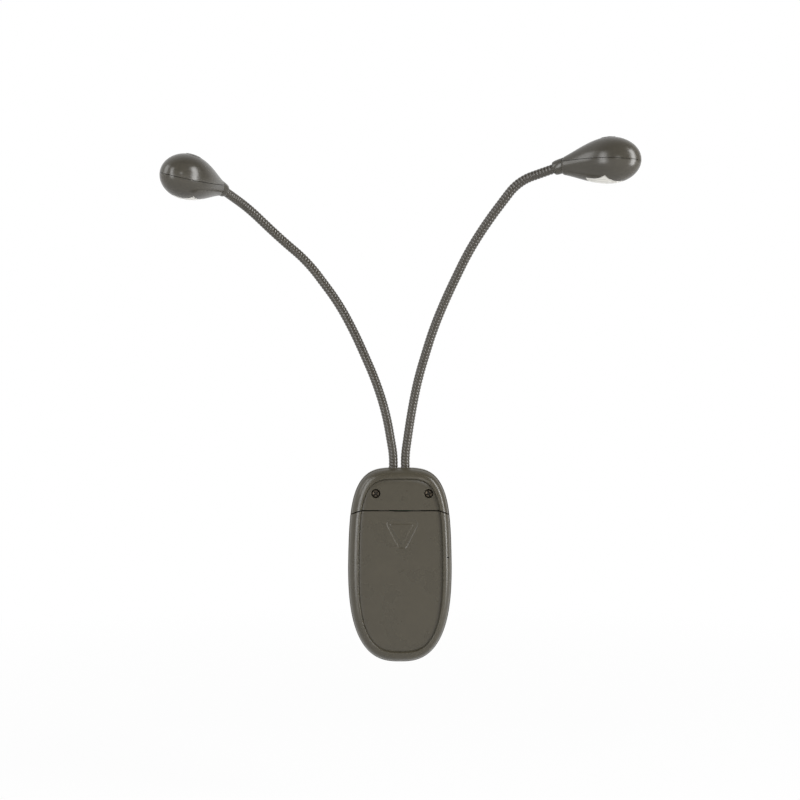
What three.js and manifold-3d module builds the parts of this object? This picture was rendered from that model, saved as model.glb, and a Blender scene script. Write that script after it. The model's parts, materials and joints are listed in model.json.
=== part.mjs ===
// A clip-on light with two goosenecks, in millimetres, +Z up, with its battery door facing -Y.
// The origin is the middle of the clip's bite, between the two rubber pads.

import * as THREE from 'three';
import { mergeVertices } from 'three/addons/utils/BufferGeometryUtils.js';
import Module from 'manifold-3d';

const wasm = await Module();
wasm.setup();

// Housing outline, seen from behind: two half superellipses that meet at the widest line
const housingHalfWidth = 25.95;
const housingBottomDrop = 49.8;
const topRoundnessPower = 3.35;
const bottomRoundnessPower = 2.62;
const outlinePoints = 48;
const jawHeight = 14.6;

// Housing depth and walls
const housingDepth = 15.6;
const backDepth = 4.4;
const wall = 1.5;
const partingStep = 0.5;
const crestInset = 3.8;
const panelInset = 4.95;
const panelEndInset = 5.6;
const panelRecess = 0.9;
const panelShift = 0.8;
const frontEdgeRadius = 4.5;
const cavityEase = 1.9;
const arcSteps = 4;

// Gaps between pieces
const seatGap = 0.2;
const runningGap = 0.15;
const looseGap = 0.3;
const overrun = 1;
const jawGap = 0.3;

// Clip
const padThickness = 2.2;
const padInset = 5.5;
const padRise = 11;
const pivotRise = 40;
const pivotReach = 3.6;
const pinRadius = 1.25;
const pinEndStand = 0.4;
const earRadius = 3.4;
const earThickness = 2.4;
const earFoot = 6;
const armEarPlace = 11;
const armInset = 1.5;
const armWall = 2;
const armRim = 2.5;
const jawFlatRise = 13;
const armBendLength = 15;
const armStand = 12.55;
const armFlare = 3.5;
const armStations = 16;

// Clip spring
const springWire = 0.9;
const springRadius = 3;
const springPitch = 1.5;
const springTurns = 5.5;
const springSteps = 8;
const springSides = 5;
const springLegRise = 14;

// Seam between the back cover and the battery door, and the door's rails
const seamAboveBay = 8.15;
const seamDrop = 2.95;
const seamFlatHalf = 17.5;
const seamBendPower = 1.6;
const seamSteps = 20;
const thumbHalfWidth = 4.1;
const thumbOffset = 0.6;
const thumbDepth = 0.5;
const thumbLength = 0.7;
const railPlace = 17;
const railWall = 1.2;
const railLip = 0.8;
const railLipThickness = 0.5;
const hookThickness = 1;
const hookFoot = 0.65;
const hookLength = 6;
const hookFromBayEnd = 10;
const tonguePlace = 8;
const tongueHalfWidth = 2.5;
const tongueReach = 2.2;
const tongueRoot = 3.5;
const tongueThickness = 0.45;

// Screws of the back cover
const screwAboveBay = 16.7;
const leftScrewPlace = -11.75;
const rightScrewPlace = 14.4;
const screwHeadRadius = 2.1;
const screwHeadDepth = 0.85;
const screwSunk = 0.25;
const screwShankRadius = 1;
const screwGrip = 5.5;
const crossLength = 2.6;
const crossWidth = 0.55;
const crossDepth = 0.5;
const bossRadius = 3;
const bossMeeting = 3.3;

// Cells and battery bay
const cellDiameter = 10.5;
const cellLength = 44.5;
const cellSpacing = 10.9;
const nubRadius = 2.75;
const nubHeight = 1.2;
const bayFloorRise = 4;
const roomAboveBay = 29.55;
const plateThickness = 0.4;
const plateHalfWidth = 4.2;
const plateHalfDepth = 4.5;
const leafHeight = 2.4;
const leafSpan = 2.6;
const leafCrown = 0.4;
const leafHalfWidth = 2;

// Circuit board and neck anchor
const boardHalfWidth = 9;
const boardPlace = 1.2;
const boardAboveBay = 4.3;
const boardHeight = 12.5;
const boardThickness = 1.2;
const boardStand = 3.85;
const pillarRadius = 1.5;
const pillarInset = 3;
const chipHalfSize = 2.5;
const chipHeight = 1.1;
const anchorHalfWidth = 7;
const anchorBelowTop = 9.75;
const anchorHeight = 5;
const anchorDepth = 8.7;
const ledgeThickness = 1.6;
const ledgeDepth = 4;
const clampRibHalfWidth = 5;
const clampRibHeight = 3.5;

// Goosenecks
const neckLength = 174;
const neckSpacing = 6.1;
const neckOffset = -0.3;
const neckDepth = 10;
const hoseRadius = 2.05;
const boreRadius = 0.9;
const ribDepth = 0.3;
const ribPitch = 2;
const ribsPerBoreRing = 5;
const hosePoints = 8;
const straightEnd = 4.1;
const ballRadius = 1.95;
const cupRadius = 2.25;
const cupRimBack = 1.13;
const ballShoulder = 0.75;
const ballShoulderStep = 0.15;
const ballRadiusShares = [0.72, 0.92, 1];
const cupRadiusShares = [0.82, 0.55];
const rootInside = 9;
const tipInside = 9;
const neckJointShares = [1 / 12, 4 / 12, 7 / 12, 10 / 12, 0.96];
const routeSteps = 720;
const leadRadius = 0.5;
const leadSides = 6;

// Headings of each neck, in degrees: lean towards +X and nod away from the user, at the base, at
// each joint and halfway between joints. The roll turns a head about its neck's end.
const leftLeanAngles = [2.8, -9.8, -17.7, -23.9, -28.3, -36.8, -50.2, -47.1, -58.4];
const leftNodAngles = [1, 2, 3, 4, 3, -2, -12, -22, -56];
const rightLeanAngles = [-2.9, 8.2, 10.9, 16.8, 22.4, 25.8, 32.9, 37.8, 73.6];
const rightNodAngles = [-2, -5, -9, -13, -17, -20, -21, -20, -23];
const leftRollAngle = -17;
const rightRollAngle = 0;

// Heads, in their own frame: x towards the nose, z up, the neck's end at the origin
const headDroopAngle = 18;
const headLength = 36.8;
const headRadius = 10.7;
const headRearRadius = 4.1;
const headWidest = 22.4;
const headTaperPower = 1.15;
const headLift = 0.55;
const headRearDrop = 2.3;
const headDropPower = 1.5;
const headWall = 1.3;
const seamAboveNeck = 2.9;
const headSeamGap = 0.3;
const headPoints = 18;
const rearSteps = 6;
const noseSteps = 5;
const noseLastAngle = 78;
const collarLength = 4.45;
const collarMouthRadius = 2.7;
const collarHeadRadius = 3.4;

// Window under the head, an outline with hollow sides
const windowRear = 12.4;
const windowMiddle = 22.3;
const windowFront = 29.5;
const windowRearHalf = 4.2;
const windowHalf = 7.2;
const windowHollow = 0.6;
const windowCurvePoints = 5;

// Inside the head, heights above the seam
const headBoardFloor = 1.5;
const headBoardThickness = 1.2;
const headBoardRear = 12.5;
const headBoardFront = 29;
const headBoardHalf = 5.5;
const postRadius = 1.2;
const rearPostPlace = 13.6;
const frontPostPlace = 25.5;
const postSide = 3.85;
const ledPlaces = [16, 22.4];
const ledRadius = 2.5;
const ledFlangeRadius = 2.9;
const ledFlangeHeight = 1;
const ledHeight = 8.6;
const ledGap = 0.25;
const reflectorTop = -3.4;
const reflectorThickness = 0.8;
const reflectorRear = 9.5;
const reflectorFront = 28;
const switchHalfSize = 3;
const switchHeight = 3;
const buttonPlace = 21;
const buttonRadius = 3.5;
const buttonStand = 0.4;
const buttonFlangeRadius = 4.1;
const buttonFlangeHeight = 0.8;
const buttonStubRadius = 1.3;
const buttonStubHeight = 0.2;
const buttonTravel = 0.8;
const headLeadBack = 4;
const headLeadPlace = 15;

// Places worked out from the sizes above
const bayLength = cellLength + 2 * (plateThickness + seatGap) + leafHeight + 2 * looseGap;
const bayTopZ = bayFloorRise + bayLength;
const widestZ = housingBottomDrop - jawHeight;
const topZ = bayTopZ + roomAboveBay;
const housingTopRise = topZ - widestZ;
const seamRise = bayTopZ + seamAboveBay;
const screwRise = bayTopZ + screwAboveBay;
const boardFloorRise = bayTopZ + boardAboveBay;
const anchorFloorRise = topZ - anchorBelowTop;
const lowerHookRise = bayFloorRise + hookFromBayEnd;
const upperHookRise = bayTopZ - hookFromBayEnd - hookLength;
const frontFaceY = -(jawGap / 2 + padThickness + seatGap);
const frontInnerY = frontFaceY - wall;
const crestY = frontFaceY - housingDepth;
const partingY = crestY + backDepth;
const panelY = crestY + panelRecess;
const panelInnerY = panelY + wall;
const jawInnerY = -frontFaceY;
const cellY = frontInnerY - looseGap - cellDiameter / 2;
const bossEndY = frontFaceY - housingDepth + panelRecess + wall + bossMeeting;
const pivot = new THREE.Vector3(0, pivotReach, pivotRise);
const fuse = wall / 2;
const light = new THREE.Group();
light.userData.joints = [];

// Finishes
const finishes = {
  shell: { color: 0x575349, roughness: 0.42, metalness: 0 },
  neck: { color: 0x4d4a40, roughness: 0.45, metalness: 0.3 },
  rubber: { color: 0x2f2e2b, roughness: 0.85, metalness: 0 },
  lens: { color: 0xe9e6dc, roughness: 0.15, metalness: 0 },
  reflector: { color: 0xf2f0ea, roughness: 0.4, metalness: 0 },
  led: { color: 0xf4efc8, roughness: 0.1, metalness: 0 },
  steel: { color: 0xb9b9b6, roughness: 0.35, metalness: 1 },
  dark_steel: { color: 0x4a4641, roughness: 0.4, metalness: 1 },
  board: { color: 0x2f6b45, roughness: 0.5, metalness: 0 },
  cell: { color: 0x8d9196, roughness: 0.35, metalness: 0.4 },
  insulation: { color: 0xb0b0ac, roughness: 0.6, metalness: 0 },
};

// Geometry from points and triangles
function geometryFrom(points, faces) {
  const geometry = new THREE.BufferGeometry();
  geometry.setAttribute('position', new THREE.Float32BufferAttribute(points, 3));
  geometry.setIndex(faces);
  geometry.computeVertexNormals();
  return geometry;
}

// A closed skin over rings of points. Looking the way the rings advance, each ring runs anticlockwise.
function skin(rings, { looped = false, startTip = null, endTip = null } = {}) {
  const count = rings[0].length;
  const points = rings.flat();
  const faces = [];
  const spans = looped ? rings.length : rings.length - 1;
  for (let ring = 0; ring < spans; ring += 1) {
    const next = (ring + 1) % rings.length;
    for (let i = 0; i < count; i += 1) {
      const j = (i + 1) % count;
      const here = [ring * count + i, ring * count + j];
      const there = [next * count + i, next * count + j];
      faces.push(here[0], there[0], here[1], here[1], there[0], there[1]);
    }
  }
  if (!looped) {
    const start = points.push(startTip ?? middleOf(rings[0])) - 1;
    const end = points.push(endTip ?? middleOf(rings[rings.length - 1])) - 1;
    const last = (rings.length - 1) * count;
    for (let i = 0; i < count; i += 1) {
      const j = (i + 1) % count;
      faces.push(start, i, j);
      faces.push(end, last + j, last + i);
    }
  }
  return geometryFrom(points.flatMap((point) => point.toArray()), faces);
}

function middleOf(points) {
  const sum = points.reduce((total, point) => total.add(point), new THREE.Vector3());
  return sum.divideScalar(points.length);
}

// Joining and cutting
function asSolid(shape) {
  if (shape instanceof wasm.Manifold) {
    return shape;
  }
  const bare = shape.clone();
  bare.deleteAttribute('normal');
  bare.deleteAttribute('uv');
  const merged = mergeVertices(bare);
  const index = merged.index.array;
  const triangles = [];
  for (let i = 0; i < index.length; i += 3) {
    const [a, b, c] = [index[i], index[i + 1], index[i + 2]];
    if (a !== b && b !== c && c !== a) {
      triangles.push(a, b, c);
    }
  }
  const vertProperties = Float32Array.from(merged.attributes.position.array);
  const triVerts = Uint32Array.from(triangles);
  return new wasm.Manifold(new wasm.Mesh({ numProp: 3, vertProperties, triVerts }));
}

function join(...shapes) {
  return shapes.map(asSolid).reduce((whole, shape) => whole.add(shape));
}

function cut(shape, ...tools) {
  return tools.map(asSolid).reduce((rest, tool) => rest.subtract(tool), asSolid(shape));
}

function common(first, second) {
  return asSolid(first).intersect(asSolid(second));
}

function addPiece(name, shape, finish, carrier = light) {
  const { vertProperties, triVerts } = asSolid(shape).getMesh();
  const geometry = geometryFrom(Array.from(vertProperties), Array.from(triVerts));
  const mesh = new THREE.Mesh(geometry, new THREE.MeshStandardMaterial(finishes[finish]));
  mesh.name = name;
  carrier.add(mesh);
}

// Basic shapes, each given by its low and high sides or by its axis
function block([lowX, highX], [lowY, highY], [lowZ, highZ]) {
  const geometry = new THREE.BoxGeometry(highX - lowX, highY - lowY, highZ - lowZ);
  return geometry.translate((lowX + highX) / 2, (lowY + highY) / 2, (lowZ + highZ) / 2);
}

function rod(start, end, radius, sides = 16) {
  const along = end.clone().sub(start);
  const geometry = new THREE.CylinderGeometry(radius, radius, along.length(), sides);
  const turn = new THREE.Quaternion().setFromUnitVectors(
    new THREE.Vector3(0, 1, 0),
    along.clone().normalize(),
  );
  const middle = start.clone().add(end).divideScalar(2);
  return geometry.applyQuaternion(turn).translate(middle.x, middle.y, middle.z);
}

function rodAlongY(x, z, lowY, highY, radius) {
  return rod(new THREE.Vector3(x, lowY, z), new THREE.Vector3(x, highY, z), radius);
}

function turned(profile, sides = 16) {
  const points = profile.map(([radius, height]) => new THREE.Vector2(radius, height));
  return new THREE.LatheGeometry(points, sides).rotateX(Math.PI / 2);
}

function prismAlongY(points, lowY, highY) {
  const options = { depth: highY - lowY, bevelEnabled: false };
  const geometry = new THREE.ExtrudeGeometry(new THREE.Shape(points), options);
  return geometry.rotateX(Math.PI / 2).translate(0, highY, 0);
}

function prismAlongX(points, lowX, highX) {
  const options = { depth: highX - lowX, bevelEnabled: false };
  const geometry = new THREE.ExtrudeGeometry(new THREE.Shape(points), options);
  const [x, y, z] = [0, 1, 2].map((axis) => new THREE.Vector3().setComponent(axis, 1));
  geometry.applyMatrix4(new THREE.Matrix4().makeBasis(y, z, x));
  return geometry.translate(lowX, 0, 0);
}

// Housing outline, drawn in by an inset at the sides and another at the ends
function housingOutline(inset, endInset = inset) {
  const points = [];
  for (let i = 0; i < outlinePoints; i += 1) {
    const angle = (2 * Math.PI * i) / outlinePoints;
    const upper = Math.sin(angle) >= 0;
    const power = 2 / (upper ? topRoundnessPower : bottomRoundnessPower);
    const halfHeight = (upper ? housingTopRise : housingBottomDrop) - endInset;
    const across = Math.sign(Math.cos(angle)) * Math.abs(Math.cos(angle)) ** power;
    const along = Math.sign(Math.sin(angle)) * Math.abs(Math.sin(angle)) ** power;
    const x = across * (housingHalfWidth - inset);
    points.push(new THREE.Vector2(x, widestZ + along * halfHeight));
  }
  return points;
}

function housingLoft(levels) {
  const rings = levels.map(({ y, inset, endInset, shift = 0 }) =>
    housingOutline(inset, endInset).map((point) => new THREE.Vector3(point.x + shift, y, point.y)));
  return skin(rings);
}

// Outer levels of the back parts, from the flat panel over the rounded rim to the parting plane
function backLevels() {
  const levels = [
    { y: panelY, inset: panelInset, endInset: panelEndInset, shift: panelShift },
    { y: (panelY + 2 * crestY) / 3, inset: (panelInset + crestInset) / 2, shift: panelShift },
  ];
  for (let i = arcSteps; i >= 0; i -= 1) {
    const angle = (Math.PI / 2) * (i / arcSteps);
    const inset = crestInset - (crestInset - partingStep) * Math.cos(angle);
    const rise = Math.sin(angle);
    levels.push({ y: partingY - backDepth * rise, inset, shift: panelShift * rise });
  }
  return levels;
}

function backTray() {
  const cavity = housingLoft([
    { y: panelInnerY, inset: crestInset, endInset: crestInset },
    { y: partingY + overrun, inset: partingStep + wall },
  ]);
  return cut(housingLoft(backLevels()), cavity);
}

// The seam's height falls away towards both sides
function seamHeight(x) {
  const beyond = Math.max(0, Math.abs(x) - seamFlatHalf) / (housingHalfWidth - seamFlatHalf);
  return seamRise - seamDrop * beyond ** seamBendPower;
}

// A cutter that holds everything above or below the seam
function seamCutter(shift, endZ) {
  const reach = housingHalfWidth + overrun;
  const points = [];
  for (let i = 0; i <= seamSteps; i += 1) {
    const x = -reach + (2 * reach * i) / seamSteps;
    points.push(new THREE.Vector2(x, seamHeight(x) + shift));
  }
  points.push(new THREE.Vector2(reach, endZ), new THREE.Vector2(-reach, endZ));
  return prismAlongY(points, crestY - overrun, partingY + overrun);
}

const screwPlaces = { left: leftScrewPlace, right: rightScrewPlace };

function makeBackCover() {
  const upperHalf = seamCutter(seatGap / 2, topZ + overrun);
  const sleeves = Object.values(screwPlaces).map((x) =>
    rodAlongY(x, screwRise, panelInnerY - fuse, bossEndY - looseGap, bossRadius));
  const anchorBackY = frontInnerY - looseGap - anchorDepth;
  const anchorMiddleZ = anchorFloorRise + anchorHeight / 2;
  const clampRib = block(
    [neckOffset - clampRibHalfWidth, neckOffset + clampRibHalfWidth],
    [panelInnerY - fuse, anchorBackY - looseGap],
    [anchorMiddleZ - clampRibHeight / 2, anchorMiddleZ + clampRibHeight / 2],
  );
  const holes = Object.values(screwPlaces).flatMap((x) => [
    rodAlongY(x, screwRise, crestY - overrun, recessFloorY, screwHeadRadius + runningGap),
    rodAlongY(x, screwRise, crestY, bossEndY, screwShankRadius + looseGap),
  ]);
  return cut(join(common(backTray(), upperHalf), ...sleeves, clampRib), ...holes);
}

// The screw heads sit on the floor of their recess
const recessFloorY = panelY + screwSunk + screwHeadDepth + seatGap;

function makeScrew(x) {
  const headBackY = panelY + screwSunk;
  const head = rodAlongY(x, screwRise, headBackY, headBackY + screwHeadDepth, screwHeadRadius);
  const shank = rodAlongY(x, screwRise, headBackY + crossDepth, bossEndY + screwGrip, screwShankRadius);
  const slots = [[crossLength, crossWidth], [crossWidth, crossLength]].map(([width, height]) =>
    block(
      [x - width / 2, x + width / 2],
      [headBackY - overrun, headBackY + crossDepth],
      [screwRise - height / 2, screwRise + height / 2],
    ));
  return cut(join(head, shank), ...slots);
}

// The door's hooks hold under the lips of the bay's side walls, and its tongues under the back cover
const lipBackY = panelInnerY + looseGap + runningGap;
const lipFrontY = lipBackY + railLipThickness;
const hookFootBackY = lipFrontY + looseGap;

function doorHook(side, lowZ) {
  const footInner = railPlace + railWall + looseGap;
  const stemInner = railPlace + railWall + railLip + looseGap;
  const stemOuter = stemInner + hookThickness;
  const rise = [lowZ, lowZ + hookLength];
  const ends = (inner, outer) => (side > 0 ? [inner, outer] : [-outer, -inner]);
  const stem = block(ends(stemInner, stemOuter), [panelInnerY - fuse, hookFootBackY + hookFoot], rise);
  const foot = block(ends(footInner, stemOuter), [hookFootBackY, hookFootBackY + hookFoot], rise);
  return join(stem, foot);
}

function doorTongue(side) {
  const middle = side * tonguePlace;
  const across = [middle - tongueHalfWidth, middle + tongueHalfWidth];
  const backY = panelInnerY + looseGap;
  const frontY = backY + tongueThickness;
  const root = block(across, [panelInnerY - fuse, frontY], [seamRise - tongueRoot, seamRise - seatGap]);
  const tip = block(across, [backY, frontY], [seamRise - tongueRoot, seamRise + tongueReach]);
  return join(root, tip);
}

function makeBatteryDoor() {
  const lowerHalf = seamCutter(-seatGap / 2, -jawHeight - overrun);
  const thumbNotch = block(
    [thumbOffset - thumbHalfWidth, thumbOffset + thumbHalfWidth],
    [crestY - overrun, panelY + thumbDepth],
    [seamRise - thumbLength, seamRise + overrun],
  );
  const parts = [common(backTray(), lowerHalf)];
  for (const side of [-1, 1]) {
    parts.push(doorHook(side, lowerHookRise), doorHook(side, upperHookRise), doorTongue(side));
  }
  return cut(join(...parts), thumbNotch);
}

// Levels of the front shell, from the parting plane over the rounded front edge to the front face
function frontLevels(inset) {
  const levels = [{ y: partingY, inset }];
  for (let i = 0; i <= arcSteps; i += 1) {
    const angle = (Math.PI / 2) * (i / arcSteps);
    const y = frontFaceY - frontEdgeRadius * (1 - Math.sin(angle));
    levels.push({ y, inset: inset + frontEdgeRadius * (1 - Math.cos(angle)) });
  }
  return levels;
}

function earOutline(baseY, baseZs) {
  const points = baseZs.map((z) => new THREE.Vector2(baseY, z));
  const towardsEnd = Math.sign(pivot.y - baseY);
  for (let i = 0; i <= 2 * arcSteps; i += 1) {
    const angle = Math.PI / 2 - (Math.PI * i) / (2 * arcSteps);
    const y = pivot.y + towardsEnd * earRadius * Math.cos(angle);
    points.push(new THREE.Vector2(y, pivot.z + earRadius * Math.sin(angle)));
  }
  return points;
}

function pinHole() {
  const reach = armEarPlace + 2 * earThickness + overrun;
  const start = new THREE.Vector3(-reach, pivot.y, pivot.z);
  return rod(start, new THREE.Vector3(reach, pivot.y, pivot.z), pinRadius + runningGap);
}

const outerEarPlace = armEarPlace + earThickness + looseGap;

function makeFrontShell() {
  const cavity = housingLoft([
    { y: partingY - overrun, inset: wall },
    { y: frontFaceY - frontEdgeRadius, inset: wall },
    { y: frontInnerY, inset: wall + cavityEase },
  ]);
  const core = housingLoft(frontLevels(fuse));
  const fullWidth = [-housingHalfWidth, housingHalfWidth];
  const frontHalf = [partingY, frontFaceY - fuse];
  const bayWalls = [
    block(fullWidth, frontHalf, [bayFloorRise - wall, bayFloorRise]),
    block(fullWidth, frontHalf, [bayTopZ, bayTopZ + wall]),
    block(
      [neckOffset - anchorHalfWidth, neckOffset + anchorHalfWidth],
      [frontInnerY - ledgeDepth, frontFaceY - fuse],
      [anchorFloorRise - looseGap - ledgeThickness, anchorFloorRise - looseGap],
    ),
  ].map((rib) => common(rib, core));
  const bayLengthwise = [bayFloorRise - fuse, bayTopZ + fuse];
  const railLengthwise = [lowerHookRise - overrun, upperHookRise + hookLength + overrun];
  const parts = [cut(housingLoft(frontLevels(0)), cavity), ...bayWalls];
  for (const side of [-1, 1]) {
    const ends = (inner, outer) => (side > 0 ? [inner, outer] : [-outer, -inner]);
    const railOuter = railPlace + railWall;
    parts.push(block(ends(railPlace, railOuter), frontHalf, bayLengthwise));
    parts.push(block(ends(railPlace, railOuter), [lipBackY, frontFaceY - fuse], railLengthwise));
    parts.push(block(ends(railPlace, railOuter + railLip), [lipBackY, lipFrontY], railLengthwise));
    const ear = earOutline(frontFaceY - fuse, [pivot.z - earFoot, pivot.z + earFoot]);
    const earInner = outerEarPlace - earThickness / 2;
    parts.push(prismAlongX(ear, ...ends(earInner, earInner + earThickness)));
    const pillarX = boardPlace + side * (boardHalfWidth - pillarInset);
    const pillarZ = boardFloorRise + boardHeight / 2;
    const pillarBackY = frontInnerY - boardStand;
    parts.push(rodAlongY(pillarX, pillarZ, pillarBackY, frontFaceY - fuse, pillarRadius));
  }
  for (const x of Object.values(screwPlaces)) {
    parts.push(rodAlongY(x, screwRise, bossEndY, frontFaceY - fuse, bossRadius));
  }
  const pilots = Object.values(screwPlaces).map((x) =>
    rodAlongY(x, screwRise, bossEndY - overrun, frontInnerY - looseGap, screwShankRadius + looseGap));
  const neckHoles = Object.values(necks).map(({ at }) =>
    rod(at(-rootInside).place, at(rootInside).place, hoseRadius + looseGap));
  return cut(join(...parts), pinHole(), ...pilots, ...neckHoles);
}

// Clip arm: the inside runs flat along the jaw, bends away from the housing and flares to the top
function smoothRamp(share) {
  const held = Math.min(1, Math.max(0, share));
  return held * held * (3 - 2 * held);
}

function armInnerY(z) {
  const bend = smoothRamp((z - jawFlatRise) / armBendLength);
  const flareStart = jawFlatRise + armBendLength;
  const flare = Math.max(0, z - flareStart) / (topZ - flareStart);
  return jawInnerY + (armStand - 2 * jawInnerY) * bend + armFlare * flare;
}

function armRimY(z) {
  return armInnerY(z) - armRim * smoothRamp((z - jawFlatRise) / armBendLength);
}

function armSlab(innerY, outerY) {
  const [low, high] = [-jawHeight - overrun, topZ + overrun];
  const inner = [];
  const outer = [];
  for (let i = 0; i <= armStations; i += 1) {
    const z = low + ((high - low) * i) / armStations;
    inner.push(new THREE.Vector2(innerY(z), z));
    outer.unshift(new THREE.Vector2(outerY(z), z));
  }
  return prismAlongX([...inner, ...outer].reverse(), -housingHalfWidth, housingHalfWidth);
}

function makeClipArm() {
  const reach = [frontFaceY - overrun, armStand + armFlare + armWall + overrun];
  const outer = prismAlongY(housingOutline(armInset), ...reach);
  const inner = prismAlongY(housingOutline(armInset + armWall), ...reach);
  const plate = common(armSlab(armRimY, (z) => armInnerY(z) + armWall), outer);
  const hollow = common(armSlab((z) => armRimY(z) - overrun, armInnerY), inner);
  const baseY = armInnerY(pivot.z) + fuse;
  const ear = earOutline(baseY, [pivot.z + earFoot, pivot.z - earFoot].reverse());
  const ears = [-1, 1].map((side) => {
    const middle = side * (armEarPlace - earThickness / 2);
    return prismAlongX(ear, middle - earThickness / 2, middle + earThickness / 2);
  });
  return cut(join(cut(plate, hollow), ...ears), pinHole());
}

function makePad(lowY, highY) {
  const outline = prismAlongY(housingOutline(padInset), lowY, highY);
  const width = [-housingHalfWidth, housingHalfWidth];
  return common(outline, block(width, [lowY, highY], [-jawHeight, padRise]));
}

function makeHingePin() {
  const reach = outerEarPlace + earThickness / 2 + pinEndStand;
  const start = new THREE.Vector3(-reach, pivot.y, pivot.z);
  return rod(start, new THREE.Vector3(reach, pivot.y, pivot.z), pinRadius);
}

// Torsion spring: a leg along the housing, open turns round the pin, and a leg along the arm
function springPath() {
  const points = [];
  const turnSteps = springTurns * springSteps;
  const startX = (-springTurns * springPitch) / 2;
  const legZ = pivot.z + springLegRise;
  points.push(new THREE.Vector3(startX, frontFaceY + looseGap + springWire / 2, legZ));
  points.push(new THREE.Vector3(startX, pivot.y - springRadius, pivot.z + springWire));
  for (let i = 0; i <= turnSteps; i += 1) {
    const angle = (2 * Math.PI * i) / springSteps;
    const y = pivot.y - springRadius * Math.cos(angle);
    const z = pivot.z - springRadius * Math.sin(angle);
    points.push(new THREE.Vector3(startX + (springPitch * i) / springSteps, y, z));
  }
  points.push(new THREE.Vector3(-startX, pivot.y + springRadius, pivot.z + springWire));
  points.push(new THREE.Vector3(-startX, armInnerY(legZ) - looseGap - springWire / 2, legZ));
  return points;
}

function sweptTube(path, radius, sides) {
  const side = new THREE.Vector3(1, 0, 0);
  const rings = path.map((point, i) => {
    const before = path[Math.max(0, i - 1)];
    const after = path[Math.min(path.length - 1, i + 1)];
    const heading = after.clone().sub(before).normalize();
    const across = side.clone().addScaledVector(heading, -heading.dot(side)).normalize();
    const over = new THREE.Vector3().crossVectors(across, heading);
    return ringPoints(point, across, over, radius, sides);
  });
  return skin(rings);
}

function ringPoints(middle, across, over, radius, count) {
  return Array.from({ length: count }, (unused, i) => {
    const angle = (2 * Math.PI * i) / count;
    return middle.clone()
      .addScaledVector(across, radius * Math.cos(angle))
      .addScaledVector(over, radius * Math.sin(angle));
  });
}

function leastGapToItself(path, wire, nearest) {
  let least = Infinity;
  for (let i = 0; i < path.length; i += 1) {
    for (let j = i + nearest; j < path.length; j += 1) {
      least = Math.min(least, path[i].distanceTo(path[j]) - wire);
    }
  }
  return least;
}

// Goosenecks: a route is a heading that changes along the length, straight for one hose diameter
// each side of a joint
function knotPlaces() {
  const joints = neckJointShares.map((share) => share * neckLength);
  const places = [0, joints[0] - straightEnd, joints[0] + straightEnd];
  for (let i = 1; i < joints.length - 1; i += 1) {
    places.push((joints[i - 1] + joints[i]) / 2, joints[i] - straightEnd, joints[i] + straightEnd);
  }
  places.push(joints[joints.length - 1] - straightEnd, neckLength);
  return places;
}

function knotHeadings(headings) {
  const [base, first, ...rest] = headings;
  const end = rest.pop();
  const values = [base, first, first];
  for (let i = 0; i < rest.length; i += 2) {
    values.push(rest[i], rest[i + 1], rest[i + 1]);
  }
  values.push(end, end);
  return values;
}

function valueAt(places, values, station) {
  const held = Math.min(places[places.length - 1], Math.max(places[0], station));
  const next = Math.max(1, places.findIndex((place) => place >= held));
  const share = (held - places[next - 1]) / (places[next] - places[next - 1]);
  return THREE.MathUtils.lerp(values[next - 1], values[next], share);
}

function headingAt(lean, nod, station) {
  const leanAngle = THREE.MathUtils.degToRad(valueAt(knotPlaces(), knotHeadings(lean), station));
  const nodAngle = THREE.MathUtils.degToRad(valueAt(knotPlaces(), knotHeadings(nod), station));
  return new THREE.Vector3(
    Math.sin(leanAngle) * Math.cos(nodAngle),
    Math.sin(nodAngle),
    Math.cos(leanAngle) * Math.cos(nodAngle),
  );
}

function neckRoute(baseX, lean, nod, roll) {
  const step = neckLength / routeSteps;
  const places = [new THREE.Vector3(baseX, -neckDepth, topZ)];
  for (let i = 0; i < routeSteps; i += 1) {
    const heading = headingAt(lean, nod, (i + 1 / 2) * step);
    places.push(places[i].clone().addScaledVector(heading, step));
  }
  const at = (station) => {
    const heading = headingAt(lean, nod, station);
    const nearest = Math.min(routeSteps, Math.max(0, Math.round(station / step)));
    const place = places[nearest].clone().addScaledVector(heading, station - nearest * step);
    return { place, heading };
  };
  return { at, roll };
}

const leftBase = neckOffset - neckSpacing / 2;
const rightBase = neckOffset + neckSpacing / 2;
const necks = {
  left: neckRoute(leftBase, leftLeanAngles, leftNodAngles, leftRollAngle),
  right: neckRoute(rightBase, rightLeanAngles, rightNodAngles, rightRollAngle),
};

function hoseRing({ at }, station, radius) {
  const { place, heading } = at(station);
  const back = new THREE.Vector3(0, 1, 0);
  const across = back.addScaledVector(heading, -heading.y).normalize();
  const over = new THREE.Vector3().crossVectors(across, heading);
  return ringPoints(place, across, over, radius, hosePoints);
}

// How far back from a joint's centre a ball or cup surface lies, at a radius from the hose's axis
function sphereBack(sphere, radius) {
  return Math.sqrt(sphere ** 2 - radius ** 2);
}

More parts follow.
